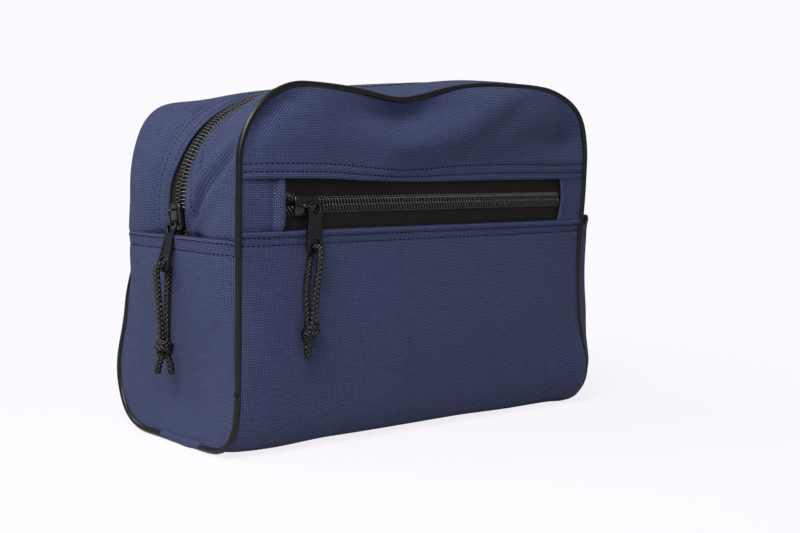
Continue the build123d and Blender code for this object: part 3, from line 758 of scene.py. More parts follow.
def track_angle(height, radius):
    """Where on the track's corner a height is reached, in degrees above level."""
    return math.degrees(math.asin((height - TRACK_CENTRE_Z) / radius))


def arch(left, half, top, count):
    """A line over the bag: its left part, a straight top of so many points, and the mirrored left."""
    top_x = np.linspace(-half, half, count)[1:-1]
    return np.concatenate([left, points_from(top_x, top), left[::-1] * (-1, 1)])


def track_over(inset, foot):
    """The zip's track over the bag: x, z and the way out, from the left foot to the right one."""
    radius = TRACK_RADIUS - inset
    low, middle = track_angle(foot, radius), track_angle(corner_z, radius)
    turns = np.radians(np.concatenate([np.linspace(low, middle, 34)[:-1], np.linspace(middle, 90, 50)]))
    out = points_from(-np.cos(turns), np.sin(turns))
    left = np.array([-TRACK_CENTRE_X, TRACK_CENTRE_Z]) + out * radius
    return arch(left, TRACK_CENTRE_X, TRACK_TOP - inset, 60), arch(out, 0, 1, 60)


def seam_arch(foot):
    """The seam beside the gusset, with as many points as the track and matched to them."""
    upright = points_from(-HALF_WIDTH, np.linspace(foot, corner_z, 34)[:-1])
    turn = np.radians(np.linspace(0, 90, 50))
    bend = points_from(-corner_x - TOP_CORNER * np.cos(turn), corner_z + TOP_CORNER * np.sin(turn))
    return arch(np.concatenate([upright, bend]), corner_x, SEAM_TOP, 60)


def crown(x, y):
    """How much the top of the gusset stands up between its two seams, right of the left corner."""
    return 4.2 * ease((x + 62) / 34) * (1 - (np.abs(y) / HALF_DEPTH) ** 2)


arch_seam = seam_arch(GUSSET_FOOT)
arch_track, arch_out = track_over(0, GUSSET_FOOT)
arch_length = lengths((arch_seam + arch_track) / 2)


def gusset_creases(share, z, x):
    """Long soft creases that pull from the front seam down towards the zip, on the left side."""
    total = np.zeros_like(z)
    fade = math.sin(math.pi * share) ** 0.6
    for at_seam, at_zip, width, rise in CREASES:
        line = at_seam + (at_zip - at_seam) * share
        total += rise * fade * (bell(z, line, width) - 0.6 * bell(z, line - 1.9 * width, width))
    return total * np.where(x < -60, 1, 0.25)


def gusset_point(share, side, lift=0.0):
    """A line along the arch, a share of the way from the seam to the fold, in mm."""
    x, z = (arch_seam + (arch_track - arch_seam) * share).T
    fold = FOLD_GAP[side] - (2.4 * ease((z - 128) / 22) if side > 0 else 0)
    y = side * (HALF_DEPTH + (fold - HALF_DEPTH) * share)
    upright = ease((corner_z + 12 - z) / 30)
    at_corner = bell(np.abs(x), 108, 22) * bell(z, 170, 22)
    swell = np.sin(math.pi * min(share / HEM_START, 1)) ** 0.7
    out = swell * (4.6 * upright + 1.2 * (1 - upright) * (1 - at_corner) + 1.5 * ease(x / 60) * upright)
    out += swell * 3.8 * at_corner * (1 if side > 0 else 0.2)
    out += swell * 1.1 * ripple(arch_length, y * 1.4, 21 + side, 60)
    if side > 0:
        # Behind the zip, slack cloth stands up beside the back seam.
        gap = share * (HALF_DEPTH - FOLD_GAP[side])
        slack = 3.2 * held(gap, 3) * math.exp(-gap / 20)
        out += slack * ease((-x - 80) / 30) * (1 - 0.55 * bell(z, 124, 12))
        out += 1.8 * held(gap, 2.5) * math.exp(-gap / 16) * bell(x, -62, 28) * (1 - upright)
    else:
        out += gusset_creases(share, z, x)
    out += lift - 1.4 * ease((SIDE_EDGE + 3 - z) / 5)
    x = x + arch_out[:, 0] * out
    return points_from(x, y, z + arch_out[:, 1] * out + crown(x, y))


def gusset_piece(side, name):
    """One strip of the gusset, from the seam to the rounded fold beside the zip."""
    lines = [gusset_point(share, side) for share in ACROSS]
    depth = [share * (HALF_DEPTH - FOLD_GAP[side]) for share in ACROSS]
    edge = lines[-1]
    way = points_from(arch_out[:, 0], 0, arch_out[:, 1])
    inwards = np.array([0, -side, 0.0])
    for turn in np.radians((30, 60, 90)):
        lines.append(edge + inwards * FOLD_ROUND * math.sin(turn) - way * FOLD_ROUND * (1 - math.cos(turn)))
        depth.append(depth[-1] + 0.5)
    depth = np.array(depth)[:, None]
    uvs = points_from(arch_length * side, depth)
    thickness = np.where(depth > depth[-1] - GUSSET_HEM, LIP, CLOTH)
    centre = (0, side * 10, 60)
    return cloth_piece(name, settle(lines), uvs, thickness, navy_cloth, cloth_back, centre)


gusset_back = gusset_piece(1, "zip_gusset_back_cloth")
place(gusset_back, "bag", "navy_cloth", "zip_gusset_back")
gusset_front = gusset_piece(-1, "zip_gusset_front_cloth")
gusset_nodes = ("zip_gusset_front", "zip_gusset_front_end_left", "zip_gusset_front_end_right")
bend_with_flap(gusset_front, GUSSET_FOLD, "navy_cloth", *gusset_nodes)

# Main zip's tapes. Black woven tape runs under both rows of teeth, along the whole gusset. One edge
# carries the coil, and the other is sewn behind the fold of the cloth.

TAPE = 0.6
TAPE_INSET = 1.7
TAPE_WIDTH = 16.0
# The tape's low colour is painted shade in the weave's hollows, its high one a painted highlight on the
# crests.
zip_tape = woven(
    "zip_tape",
    low=(0.0015, 0.001, 0.001),
    high=(0.032, 0.025, 0.022),
    thread=0.75,
    slub=0.6,
    roughness=0.7,
    sheen=0.01,
    bump=0.14,
    tint=(1, 1, 1),
)


def track_line(inset, y, foot, lift=0.0):
    """A line along the zip's track, a way in from it and to one side of its middle."""
    track, ways = track_over(inset, foot)
    x, z = (track + ways * lift).T
    return settle(points_from(x, y, z + crown(x, y)))


for side, name in ((1, "back"), (-1, "front")):
    inner, outer = (track_line(TAPE_INSET, side * reach, 101) for reach in (0.4, TAPE_WIDTH))
    shares = np.linspace(0, 1, 9)[:, None, None]
    across = np.linspace(0, np.linalg.norm(outer[0] - inner[0]), 9)[:, None]
    uvs = points_from(lengths(inner), across)
    grid = inner * (1 - shares) + outer * shares
    tape = cloth_piece(f"main_tape_{name}_cloth", grid, uvs, TAPE, zip_tape, zip_tape, (0, 0, 60))
    if side > 0:
        place(tape, "bag", "zip_tape", "main_tape_back")
    else:
        bend_with_flap(tape, GUSSET_FOLD, "zip_tape", "main_tape_front", "main_tape_front_ends")

# Front pocket. Its mouth is closed at both ends by a folded strip of cloth; the zip's tapes lie a
# little behind the hems, and a thin lining hangs behind them.

WINDOW_LEFT = -99.2
WINDOW_RIGHT = 102.0
CHAIN_Z = 123.95
TAPE_Y = -50.3
TAPE_MEET = 0.5


def flat_strip(name, x, z, face, thickness, material, bow=0.0):
    """An upright strip of cloth that faces the front, from low to high x and z, edges bowed by bow."""
    across = np.linspace(x[0], x[1], max(4, int(abs(x[1] - x[0]) / 0.9)))
    up = np.linspace(z[0], z[1], max(38, int((z[1] - z[0]) / 1.6)))
    grid_x, grid_z = np.meshgrid(across, up)
    mid = (grid_z - (z[0] + z[1]) / 2) / ((z[1] - z[0]) / 2)
    share = (grid_x - x[0]) / (x[1] - x[0])
    moved = grid_x + bow * (1 - mid**2) * (1 - share if x[0] > 0 else share)
    points = settle(points_from(moved, face(moved, grid_z), grid_z))
    backing = cloth_back if material is navy_cloth else material
    return cloth_piece(name, points, points_from(grid_x, grid_z), thickness, material, backing, (0, 40, 124))


def strip_face(x, z):
    """The end strips' depth: each is folded back beside the mouth, and its fold stands out."""
    mouth = ease((z - 110.8) / 1.2) * ease((137.2 - z) / 1.2)
    face = -HALF_DEPTH + 0.3 - 0.5 * bell(z, CHAIN_Z, 9) + 0.25 * ripple(x, z, 31, 18)
    face -= 2.0 * np.clip((x + 103.9) / 3.6, 0, 1) * (x < 0) * mouth
    face -= 1.3 * np.clip((x + 122) / 18, 0, 1) * (x < 0) * ease((z - 111.2) / 4) * ease((137 - z) / 4)
    return face + 0.8 * bell(x, -104.4, 1.2) - 0.9 * bell(x, WINDOW_RIGHT + 2.5, 2.2)


def tape_face(x, z):
    """The pocket tapes' depth: nearly flat."""
    return TAPE_Y + 0.25 * ripple(x, z, 35, 30)


def lining_face(x, z):
    """The lining's depth: it hangs a little behind the front and comes forward to the band's hem."""
    slope = ease((z - 126) / 9)
    return -45.5 - 4.0 * slope + 0.8 * ripple(x, z, 41, 50) * (1 - slope)


for name, span, bow in (
    ("pocket_end_strip_left", (-HALF_WIDTH + 0.5, WINDOW_LEFT), 0.3),
    ("pocket_end_strip_right", (WINDOW_RIGHT, HALF_WIDTH - 0.5), 2.4),
):
    strip = flat_strip(name + "_cloth", span, (109, 139), strip_face, 1.4, navy_cloth, bow)
    place(strip, "bag", "navy_cloth", name)
for name, span in (
    ("pocket_tape_upper", (CHAIN_Z + TAPE_MEET, 138)),
    ("pocket_tape_lower", (103.6, CHAIN_Z - TAPE_MEET)),
):
    tape = flat_strip(name + "_cloth", (-104, 110), span, tape_face, TAPE, zip_tape)
    place(tape, "bag", "zip_tape", name)
lining = flat_strip("pocket_lining_cloth", (-116, 116), (15, 136), lining_face, 0.5, cloth_back)
place(lining, "bag", "pocket_cloth", "pocket_lining")

# Seam binding. A narrow black tape, folded over the raw edges of the seam, covers them inside the
# bag. It runs along the whole loop of the seam, behind the piping.

BINDING_SECTION = ((3.2, 0.6), (9.4, 0.6), (9.8, 0.0), (9.4, -0.6), (3.2, -0.6), (2.8, 0.0))

tangent = path_frames(seam_loop, True)[0]
over = np.abs(np.abs(seam_loop[:, 1]) - HALF_DEPTH) < 0.01
first = np.where(over[:, None], seam_loop * (0, -1, 0), seam_loop * (-1, 0, 0))
first = first / np.linalg.norm(first, axis=1, keepdims=True)
second = np.cross(tangent, first)
second *= np.sign(np.sum(second * (np.array(MIDDLE) - seam_loop), 1, keepdims=True))
inward = 0.8 * first + 0.6 * second
across = np.cross(tangent, inward)
line = settle(seam_loop)
rings = np.stack([line + inward * depth + across * half for depth, half in BINDING_SECTION], 1)
uvs = points_from(lengths(line)[:, None], [depth + half for depth, half in BINDING_SECTION]).reshape(-1, 2)
binding = mesh_piece("seam_binding_tape", *lofted(rings, 0), [zip_tape], uvs)
bend_with_flap(binding, SEAM_FOLD, "seam_binding", "seam_binding_loop", "seam_binding_front")

# Rows of teeth. Each zip is a nylon coil: close loops that slant across the row, sewn down to the
# tape by a thread over every loop; the two rows mesh by half a pitch.

PITCH = 1.95
SLIDER_X = -85.0
ROW_START = 0.9
nylon = smooth_material(
    "black_nylon", (0.018, 0.015, 0.013), roughness=0.22, coat=0.75, bump_size=0.4, bump=0.01
)
# The coil's thread is black; its lighter grey-brown colour is a painted highlight, so that its stitches show
# as bright dots on the coil.
thread = smooth_material(
    "black_thread_painted_glint", (0.09, 0.078, 0.066), roughness=0.5, coat=0, bump_size=0.15, bump=0.05
)


def evaluated_mesh(item):
    """The plain mesh that an object's curve or modifiers make."""
    bpy.context.view_layer.update()
    return bpy.data.meshes.new_from_object(item.evaluated_get(bpy.context.evaluated_depsgraph_get()))


def repeat_tree(name, sizes, shape):
    """A tree that sets one small shape at every pitch along the lines of a mesh."""
    given_sizes = {size: ("Float", value) for size, value in sizes.items()}
    tree, given, result = new_tree(
        "GeometryNodeTree",
        name,
        {
            "Lines": ("Geometry", None),
            "Pitch": ("Float", PITCH * MM),
            "Across": ("Vector", (0, 1, 0)),
            "Material": ("Material", None),
            **given_sizes,
        },
        {"Geometry": "Geometry"},
    )
    curve = node(tree, "GeometryNodeMeshToCurve", {"Mesh": given["Lines"]}).outputs[0]
    spacing = {"Curve": curve, "Length": given["Pitch"]}
    points = node(tree, "GeometryNodeCurveToPoints", spacing, mode="LENGTH").outputs
    align = "FunctionNodeAlignRotationToVector"
    ahead = node(tree, align, {"Vector": points["Tangent"]}, axis="X").outputs[0]
    turned = node(tree, align, {"Rotation": ahead, "Vector": given["Across"]}, axis="Y", pivot_axis="X")
    placed = node(
        tree,
        "GeometryNodeInstanceOnPoints",
        {"Points": points["Points"], "Instance": shape(tree, given), "Rotation": turned.outputs[0]},
    )
    real = node(tree, "GeometryNodeRealizeInstances", {"Geometry": placed.outputs[0]}).outputs[0]
    smooth = node(tree, "GeometryNodeSetShadeSmooth", {"Geometry": real}).outputs[0]
    coloured = node(tree, "GeometryNodeSetMaterial", {"Geometry": smooth, "Material": given["Material"]})
    tree.links.new(coloured.outputs[0], result[0])
    return tree


def coil_loop(tree, given):
    """One loop of the coil: a slanted, arched bar of round wire with a rounded head."""
    bar = node(
        tree,
        "GeometryNodeCurveQuadraticBezier",
        {"Resolution": 7, "Start": (-0.5, 4.0, 0.1), "Middle": (-0.1, 2.1, 3.5), "End": (0.4, -0.2, 0.9)},
    ).outputs[0]
    wire = node(tree, "GeometryNodeCurvePrimitiveCircle", {"Resolution": 6, "Radius": 0.36}).outputs[0]
    loop = node(tree, "GeometryNodeCurveToMesh", {"Curve": bar, "Profile Curve": wire, "Fill Caps": True})
    size = node(tree, "ShaderNodeCombineXYZ", {"X": MM, "Y": given["Reach"], "Z": MM}).outputs[0]
    return node(tree, "GeometryNodeTransform", {"Geometry": loop.outputs[0], "Scale": size}).outputs[0]


def stitch(tree, given):
    """One stitch: a short grain of thread pulled into the cloth at both ends."""
    grain = node(tree, "GeometryNodeMeshUVSphere", {"Segments": 6, "Rings": 5, "Radius": MM}).outputs[0]
    sizes = {"X": given["Half Length"], "Y": given["Thread"], "Z": given["Thread"]}
    size = node(tree, "ShaderNodeCombineXYZ", sizes).outputs[0]
    return node(tree, "GeometryNodeTransform", {"Geometry": grain, "Scale": size}).outputs[0]


coil_tree = repeat_tree("coil_row", {"Reach": MM}, coil_loop)
stitch_tree = repeat_tree("stitch_row", {"Half Length": 1.15, "Thread": 0.34}, stitch)


def repeated(name, lines, tree, values):
    """Runs a repeating tree over lines of points in mm and keeps the plain mesh it makes."""
    vertices, edges = [], []
    for line in lines:
        start = len(vertices)
        vertices += [tuple(point) for point in np.asarray(line) * MM]
        edges += [(step, step + 1) for step in range(start, len(vertices) - 1)]
    drawn = bpy.data.meshes.new(name + "_lines")
    drawn.from_pydata(vertices, edges, [])
    item = shown(name, drawn)
    change = item.modifiers.new("repeat", "NODES")
    change.node_group = tree
    for socket in tree.interface.items_tree:
        if socket.in_out == "INPUT" and socket.name in values:
            change[socket.identifier] = values[socket.name]
    mesh = evaluated_mesh(item)
    item.modifiers.clear()
    item.data = mesh
    bpy.data.meshes.remove(drawn)
    mesh.name = name
    return item


def coil_thread(name, line):
    """The thread that sews a coil to its tape: a stitch over every loop."""
    return repeated(name, [line], stitch_tree, {"Half Length": 0.7, "Thread": 0.3, "Material": thread})


def pocket_row(side, start):
    """A row of the pocket's zip: it stands off the middle in and behind the slider."""
    x = np.arange(WINDOW_LEFT + start, WINDOW_RIGHT - 0.4, PITCH)
    inside = np.clip((SLIDER_X - x) / 4.4, 0, 1) * 1.2
    behind = np.clip(-92 - x, 0, None) * 0.35
    return points_from(x, TAPE_Y, CHAIN_Z + 0.6 + side * (inside + behind))


for side, name, start, reach, sewn in (
    (1, "upper", ROW_START, 0.82, 3.3),
    (-1, "lower", ROW_START + PITCH / 2, 1.18, -4.3),
):
    line = pocket_row(side, start)
    values = {"Reach": reach * MM, "Across": (0, 0, side), "Material": nylon}
    row = repeated(f"pocket_teeth_{name}_coil", [line[::side]], coil_tree, values)
    place(row, "bag", "nylon_teeth", f"pocket_teeth_{name}")
    place(coil_thread(f"pocket_coil_thread_{name}", line + (0, -0.8, sewn)), "bag", "zip_tape")
over_thread = coil_thread("pocket_coil_thread_over", pocket_row(1, ROW_START) + (0, -2.0, 2.2))
place(over_thread, "bag", "zip_tape")

for side, name, start in ((1, "back", 0), (-1, "front", PITCH / 2)):
    line = track_line(TAPE_INSET, 0, GUSSET_FOOT + 2 + start)
    values = {"Across": (0, side, 0), "Material": nylon}
    row = repeated(f"main_teeth_{name}_coil", [line[::side]], coil_tree, values)
    sewn = coil_thread(f"main_coil_thread_{name}", track_line(TAPE_INSET, side * 3.5, GUSSET_FOOT + 2, 0.8))
    if side > 0:
        place(row, "bag", "nylon_teeth", "main_teeth_back")
        place(sewn, "bag", "zip_tape")
    else:
        bend_with_flap(row, GUSSET_FOLD, "nylon_teeth", "main_teeth_front", "main_teeth_front_ends")
        bend_with_flap(sewn, GUSSET_FOLD, "zip_tape")


# Stitching. Navy thread holds each hem with two rows, and the gusset's folds with two more beside
# the zip; every stitch is a short grain of thread pulled into the cloth.

STITCH = 2.9
STITCH_STEP = 1.5
STITCH_PROUD = 0.08
navy_thread = smooth_material(
    "navy_thread", (0.002, 0.003, 0.012), roughness=0.75, coat=0, bump_size=0.15, bump=0.05, shine=0.1
)


def front_line(z):
    """A row of stitches across the front."""
    x = np.arange(-121, 121.5, STITCH_STEP)
    return settle(points_from(x, -HALF_DEPTH - front_swell(x, z) - STITCH_PROUD, z))


def side_line(side, z):
    """A row of stitches across a side."""
    y = np.arange(-50.0, 50.1, STITCH_STEP)
    return settle(points_from(side * (HALF_WIDTH + side_swell(y, z, side) + STITCH_PROUD), y, z))


def gusset_lines(side):
    """The two rows of stitches beside the zip, above the side hems."""
    start = int(np.searchsorted(arch_seam[:, 1], SIDE_EDGE + 1.5))
    shares = [1 - off / (HALF_DEPTH - FOLD_GAP[side]) for off in (1.7, 8.0)]
    return [settle(gusset_point(share, side, 0.05))[start:-start] for share in shares]


def stitched(name, lines, across=(0, 1, 0), size=0.34):
    """The stitches of some rows, as one object."""
    values = {"Pitch": STITCH * MM, "Across": across, "Thread": size, "Material": navy_thread}
    return repeated("stitching_" + name, lines, stitch_tree, values)


side_rows = [side_line(side, z) for side in (-1, 1) for z in SIDE_ROWS]
place(stitched("top_band", [front_line(z) for z in FRONT_ROWS[:2]]), "front_flap", "navy_cloth")
place(stitched("lower_hem", [front_line(z) for z in FRONT_ROWS[2:]]), "bag", "navy_cloth")
place(stitched("side_hems", side_rows, (1, 0, 0)), "bag", "navy_cloth")
place(stitched("gusset_back", gusset_lines(1), size=0.16), "bag", "navy_cloth")
bend_with_flap(stitched("gusset_front", gusset_lines(-1), size=0.16), GUSSET_FOLD, "navy_cloth")

# Sliders. Each is cast metal, painted black: a domed front plate whose flanges hold the coil, a
# back plate behind the tape, a bridge between them and a bail for the pull tab.

SLIDER_LENGTH = 14.0
SLIDER_HALF_FRONT = 4.25
SLIDER_HALF_BACK = 5.45
SLIDER_ROOF = 2.5
SLIDER_PLATE = 1.2
BAIL_FOOT = 3.5
BAIL_TOP = 6.95
BAIL_HALF = 3.85
BAIL_BEND = 1.3
painted = smooth_material(
    "black_paint",
    (0.003, 0.003, 0.003),
    roughness=0.17,
    coat=0,
    bump_size=0.5,
    bump=0.01,
    patches=0.4,
    shine=0.6,
)


def local_place(origin, x_way, z_way):
    """A place on the bag, in mm, from its origin and two of its directions."""
    x_way, z_way = Vector(x_way).normalized(), Vector(z_way).normalized()
    turn = Matrix((x_way, z_way.cross(x_way), z_way)).transposed()
    return Matrix.Translation(Vector(origin)) @ turn.to_4x4()


def placed(points, where):
    """Points moved to a place on the bag."""
    matrix = np.array(where)
    return np.asarray(points, float) @ matrix[:3, :3].T + matrix[:3, 3]


def joined(name, meshes, material, where):
    """One object from several sets of vertices and faces in mm, set in place."""
    vertices, faces = [], []
    for points, polygons in meshes:
        start = len(vertices)
        vertices += [tuple(point) for point in placed(points, where)]
        faces += [tuple(start + corner for corner in polygon) for polygon in polygons]
    return mesh_piece(name, vertices, faces, [material])


def blunted(wave, power):
    """A sine or cosine with its crests made flatter."""
    return np.sign(wave) * np.abs(wave) ** power


def slider_half(x):
    """Half the slider's width over its flanges: wider at the end where the rows part."""
    share = (SLIDER_LENGTH / 2 - x) / SLIDER_LENGTH
    return SLIDER_HALF_FRONT + (SLIDER_HALF_BACK - SLIDER_HALF_FRONT) * share


def plate_section(x, half, low, high, dome, round_off):
    """Closed section of a plate across the slider: flat below, domed and rounded above."""
    turn = np.linspace(0, math.pi, 9)
    y = half * blunted(np.cos(turn), 0.55)
    rise = np.sin(turn) ** 0.5
    z = high - round_off + (round_off + dome) * rise - dome * (np.abs(y) / half) ** 2 * rise
    bottom = np.array([[x, -half, low], [x, -half * 0.5, low], [x, half * 0.5, low], [x, half, low]])
    return np.concatenate([points_from(x, y, z), bottom])


def flange_section(x, side):
    """Closed section of a flange, which wraps the coil and thins out towards both ends."""
    out, inner = side * slider_half(x), side * (slider_half(x) - 0.75)
    fade = ease((5.6 - abs(x)) / 2.0) ** 0.5
    foot = SLIDER_ROOF + 0.4 - (SLIDER_ROOF + 0.1) * fade
    root = SLIDER_ROOF + 0.7
    outline = (
        (inner, foot),
        ((out + inner) / 2, foot - 0.1),
        (out, foot + 0.12),
        (out + side * 0.06, (foot + SLIDER_ROOF) / 2 + 0.2),
        (out - side * 0.04, root),
        (inner, root),
    )
    return np.array([(x, y, z) for y, z in outline])


def bail_mesh():
    """Flat bar bent into an arch along the slider, rounded at its edges, with splayed feet."""
    corner = BAIL_TOP - BAIL_BEND
    path = [(-BAIL_HALF - 0.5, BAIL_FOOT), (-BAIL_HALF, BAIL_FOOT + 0.9), (-BAIL_HALF, corner)]
    for turn in np.radians((25, 50, 75)):
        path.append((-BAIL_HALF + BAIL_BEND * (1 - math.cos(turn)), corner + BAIL_BEND * math.sin(turn)))
    path = np.array(path + [(-x, z) for x, z in path[::-1]])
    ahead = np.gradient(path, axis=0)
    ahead /= np.linalg.norm(ahead, axis=1, keepdims=True)
    turn = np.linspace(0, math.tau, 14, endpoint=False)
    across, thick = 0.8 * blunted(np.cos(turn), 0.6), 0.62 * blunted(np.sin(turn), 0.6)
    sections = []
    for (x, z), (ahead_x, ahead_z) in zip(path, ahead):
        sections.append(points_from(x - ahead_z * thick, across, z + ahead_x * thick))
    return lofted(sections)


def slider_meshes(back_room):
    """A slider's plates, flanges, bridge and bail, with room for the tapes behind the coil."""
    fronts, backs = [], []
    for x in (-7, -6.85, -6.4, -5.6, *np.linspace(-4.6, 4.6, 9), 5.6, 6.4, 6.85, 7):
        near_end = np.clip((SLIDER_LENGTH / 2 - abs(x)) / 2.4, 0, 1)
        half = slider_half(x) * (0.6 + 0.4 * math.sqrt(1 - (1 - near_end) ** 2))
        fronts.append(plate_section(x, half, SLIDER_ROOF, SLIDER_ROOF + SLIDER_PLATE, 0.35, 0.7))
        backs.append(plate_section(x, half * 0.96, -0.9 - back_room, -0.7 - back_room, 0.0, 0.3))
    flanges = [lofted([flange_section(x, side) for x in np.linspace(-5.6, 5.6, 13)]) for side in (-1, 1)]
    turn = np.linspace(0, math.tau, 12, endpoint=False)
    ends = (-1.1 - back_room, SLIDER_ROOF + 0.5)
    bridge = [points_from(-5.7 + 1.3 * np.cos(turn), 0.45 * np.sin(turn), z) for z in ends]
    return [lofted(fronts), lofted(backs), *flanges, lofted(bridge), bail_mesh()]


pocket_slider_place = local_place((SLIDER_X, TAPE_Y, CHAIN_Z), (1, 0, 0), (0, -1, 0))
main_turn = math.radians(track_angle(116.5, TRACK_RADIUS - TAPE_INSET))
main_out = Vector((-math.cos(main_turn), 0, math.sin(main_turn)))
main_up = Vector((math.sin(main_turn), 0, math.cos(main_turn)))
main_point = Vector((-TRACK_CENTRE_X, 0, TRACK_CENTRE_Z)) + main_out * (TRACK_RADIUS - TAPE_INSET)
main_slider_place = local_place(main_point, main_up, main_out)
for name, where, room in (
    ("pocket_slider", pocket_slider_place, 0.3),
    ("main_slider", main_slider_place, 1.5),
):
    slider = joined(name + "_cast", slider_meshes(room), painted, where)
    bevel = slider.modifiers.new("edges", "BEVEL")
    bevel.width = 0.18 * MM
    bevel.segments = 2
    bevel.limit_method = "ANGLE"
    bevel.angle_limit = math.radians(50)
    place(slider, name, "black_slider", name)

# Pull tabs. A flat cast tab, painted black, with a round eye above, a raised edge round a sunk
# face, and a hole over its foot bar for the cord.

TAB_TOP = 4.2
TAB_FOOT = TAB_TOP - 27.0
TAB_HALF = 5.25
TAB_CORNER = 3.6
EYE = 2.8
CORD_HOLE_Z = TAB_FOOT + 5.0
SHARP = math.radians(40)


def tab_outline(inset):
    """Outline of the tab from its eye to its foot, moved in by inset, as points in mm."""
    turns = np.radians(np.linspace(-28, 208, 33))
    points = [((TAB_TOP - inset) * math.cos(turn), (TAB_TOP - inset) * math.sin(turn)) for turn in turns]
    for side, start in ((-1, 180), (1, 270)):
        for turn in np.radians(np.linspace(start, start + 90, 9)):
            x = side * (TAB_HALF - TAB_CORNER) + (TAB_CORNER - inset) * math.cos(turn)
            points.append((x, TAB_FOOT + TAB_CORNER + (TAB_CORNER - inset) * math.sin(turn)))
    return points


def round_hole(centre_z, radius):
    """Outline of a round hole, or of a round eyelet, on the tab's middle line."""
    turns = np.linspace(0, math.tau, 28, endpoint=False)
    return [(radius * math.cos(turn), centre_z + radius * math.sin(turn)) for turn in turns]


def cut_plate(name, outlines, half_thickness, bevel, where):
    """A flat shape with holes, its edges rounded, drawn in its own plane in mm and set in place."""
    curve = bpy.data.curves.new(name, "CURVE")
    curve.dimensions = "2D"
    curve.fill_mode = "BOTH"
    curve.extrude = (half_thickness - bevel) * MM
    curve.bevel_depth = bevel * MM
    curve.offset = -bevel * MM
    curve.bevel_resolution = 2
    for outline in outlines:
        spline = curve.splines.new("POLY")
        spline.points.add(len(outline) - 1)
        for point, (x, y) in zip(spline.points, outline):
            point.co = (x * MM, y * MM, 0, 1)
        spline.use_cyclic_u = True
    drawn = shown(name, curve)
    mesh = evaluated_mesh(drawn)
    bpy.data.objects.remove(drawn)
    in_metres = where.copy()
    in_metres.translation = where.translation * MM
    mesh.transform(in_metres)
    shell = bmesh.new()
    shell.from_mesh(mesh)
    bmesh.ops.remove_doubles(shell, verts=shell.verts, dist=1e-6)
    bmesh.ops.recalc_face_normals(shell, faces=shell.faces)
    shell.to_mesh(mesh)
    shell.free()
    mesh.materials.clear()
    mesh.materials.append(painted)
    mesh.shade_smooth()
    return shown(name, mesh)


def ring_mesh(reach, thick):
    """Vertices and faces of a round ring in its own plane, in mm."""
    around = np.linspace(0, math.tau, 36, endpoint=False)[:, None]
    section = np.linspace(0, math.tau, 12, endpoint=False)
    wide = reach + thick * np.cos(section)
    return lofted(points_from(wide * np.cos(around), wide * np.sin(around), thick * np.sin(section)), 0)


def pull_tab(node_name, where):
    """A whole tab: a thin plate, its raised edge, and raised rings round the eye and the hole."""
    name = node_name + "_cast"
    eye, cord_hole = round_hole(0, EYE), round_hole(CORD_HOLE_Z, 3.0)
    panel = []
    for x, y in tab_outline(1.3):
        y = min(y, -5.4)
        if not panel or math.hypot(x - panel[-1][0], y - panel[-1][1]) > 0.02:
            panel.append((x, y))
    plate = cut_plate(name + "_plate", [tab_outline(0.4), eye, cord_hole], 0.5, 0.12, where)
    added = [
        cut_plate(name + "_rim", [tab_outline(0), panel, eye], 0.8, 0.25, where),
        cut_plate(name + "_eyelet", [round_hole(CORD_HOLE_Z, 4.1), cord_hole], 0.8, 0.25, where),
        joined(name + "_ring", [ring_mesh(3.5, 0.7)], painted, where),
    ]
    whole = bmesh.new()
    for item in (plate, *added):
        whole.from_mesh(item.data)
    whole.to_mesh(plate.data)
    whole.free()
    plate.data.set_sharp_from_angle(angle=SHARP)
    for item in added:
        bpy.data.objects.remove(item)
    plate.name = name
    place(plate, node_name, "black_pull_tab", node_name)


# The main tab leans out from the bail's bar; the pocket's leans out and a little to the right.
main_lean = math.radians(14)
main_tab_up = Vector((math.sin(main_lean), 0, math.cos(main_lean)))
main_eye = Vector((-128.352, 0, 114.02)) - main_tab_up * 3.5
pull_tab("main_pull_tab", local_place(main_eye, (0, 1, 0), Vector((0, 1, 0)).cross(main_tab_up)))

pocket_lean, pocket_turn = math.radians(8), math.radians(5.5)
pocket_up = Vector((0, math.sin(pocket_lean), math.cos(pocket_lean)))
pocket_eye = Vector((-81.15, -55.3, CHAIN_Z)) - pocket_up * 1.669
pocket_side = Vector((math.cos(pocket_turn), 0, 0)) - pocket_up * math.sin(pocket_turn)
pocket_up = pocket_up * math.cos(pocket_turn) + Vector((math.sin(pocket_turn), 0, 0))
pull_tab("pocket_pull_tab", local_place(pocket_eye, pocket_side, pocket_side.cross(pocket_up)))

# Pull cords. A limp braided cord, eight strands over a core, is doubled through each tab's hole,
# hangs down from the foot bar and is knotted below, with two short tails.

cord_black = smooth_material(
    "black_braid",
    (0.0025, 0.002, 0.0018),
    roughness=0.27,
    coat=0,
    bump_size=0.25,
    bump=0.05,
    patches=0.3,
    shine=0.45,
)


def cord_line(points, where):
    """The smooth line of a cord through its control points, read back from its spline, in mm."""
    curve = bpy.data.curves.new("line", "CURVE")
    curve.dimensions = "3D"
    spline = curve.splines.new("NURBS")
    spline.points.add(len(points) - 1)
    for point, spot in zip(spline.points, placed(points, where)):
        point.co = (*(spot * MM), 1)
    spline.order_u = 3
    spline.use_endpoint_u = True
    spline.resolution_u = 16
    drawn = shown("line", curve)
    mesh = evaluated_mesh(drawn)
    line = np.array([tuple(vertex.co) for vertex in mesh.vertices]) / MM
    bpy.data.objects.remove(drawn)
    bpy.data.meshes.remove(mesh)
    return line


def spaced(line, step):
    """The same line with its points an even step apart, and how far along it each lies."""
    length = lengths(line)
    keep = np.concatenate([[True], np.diff(length) > 1e-9])
    marks = np.linspace(0, length[-1], max(6, int(length[-1] / step)))
    return points_from(*(np.interp(marks, length[keep], line[keep, axis]) for axis in range(3))), marks


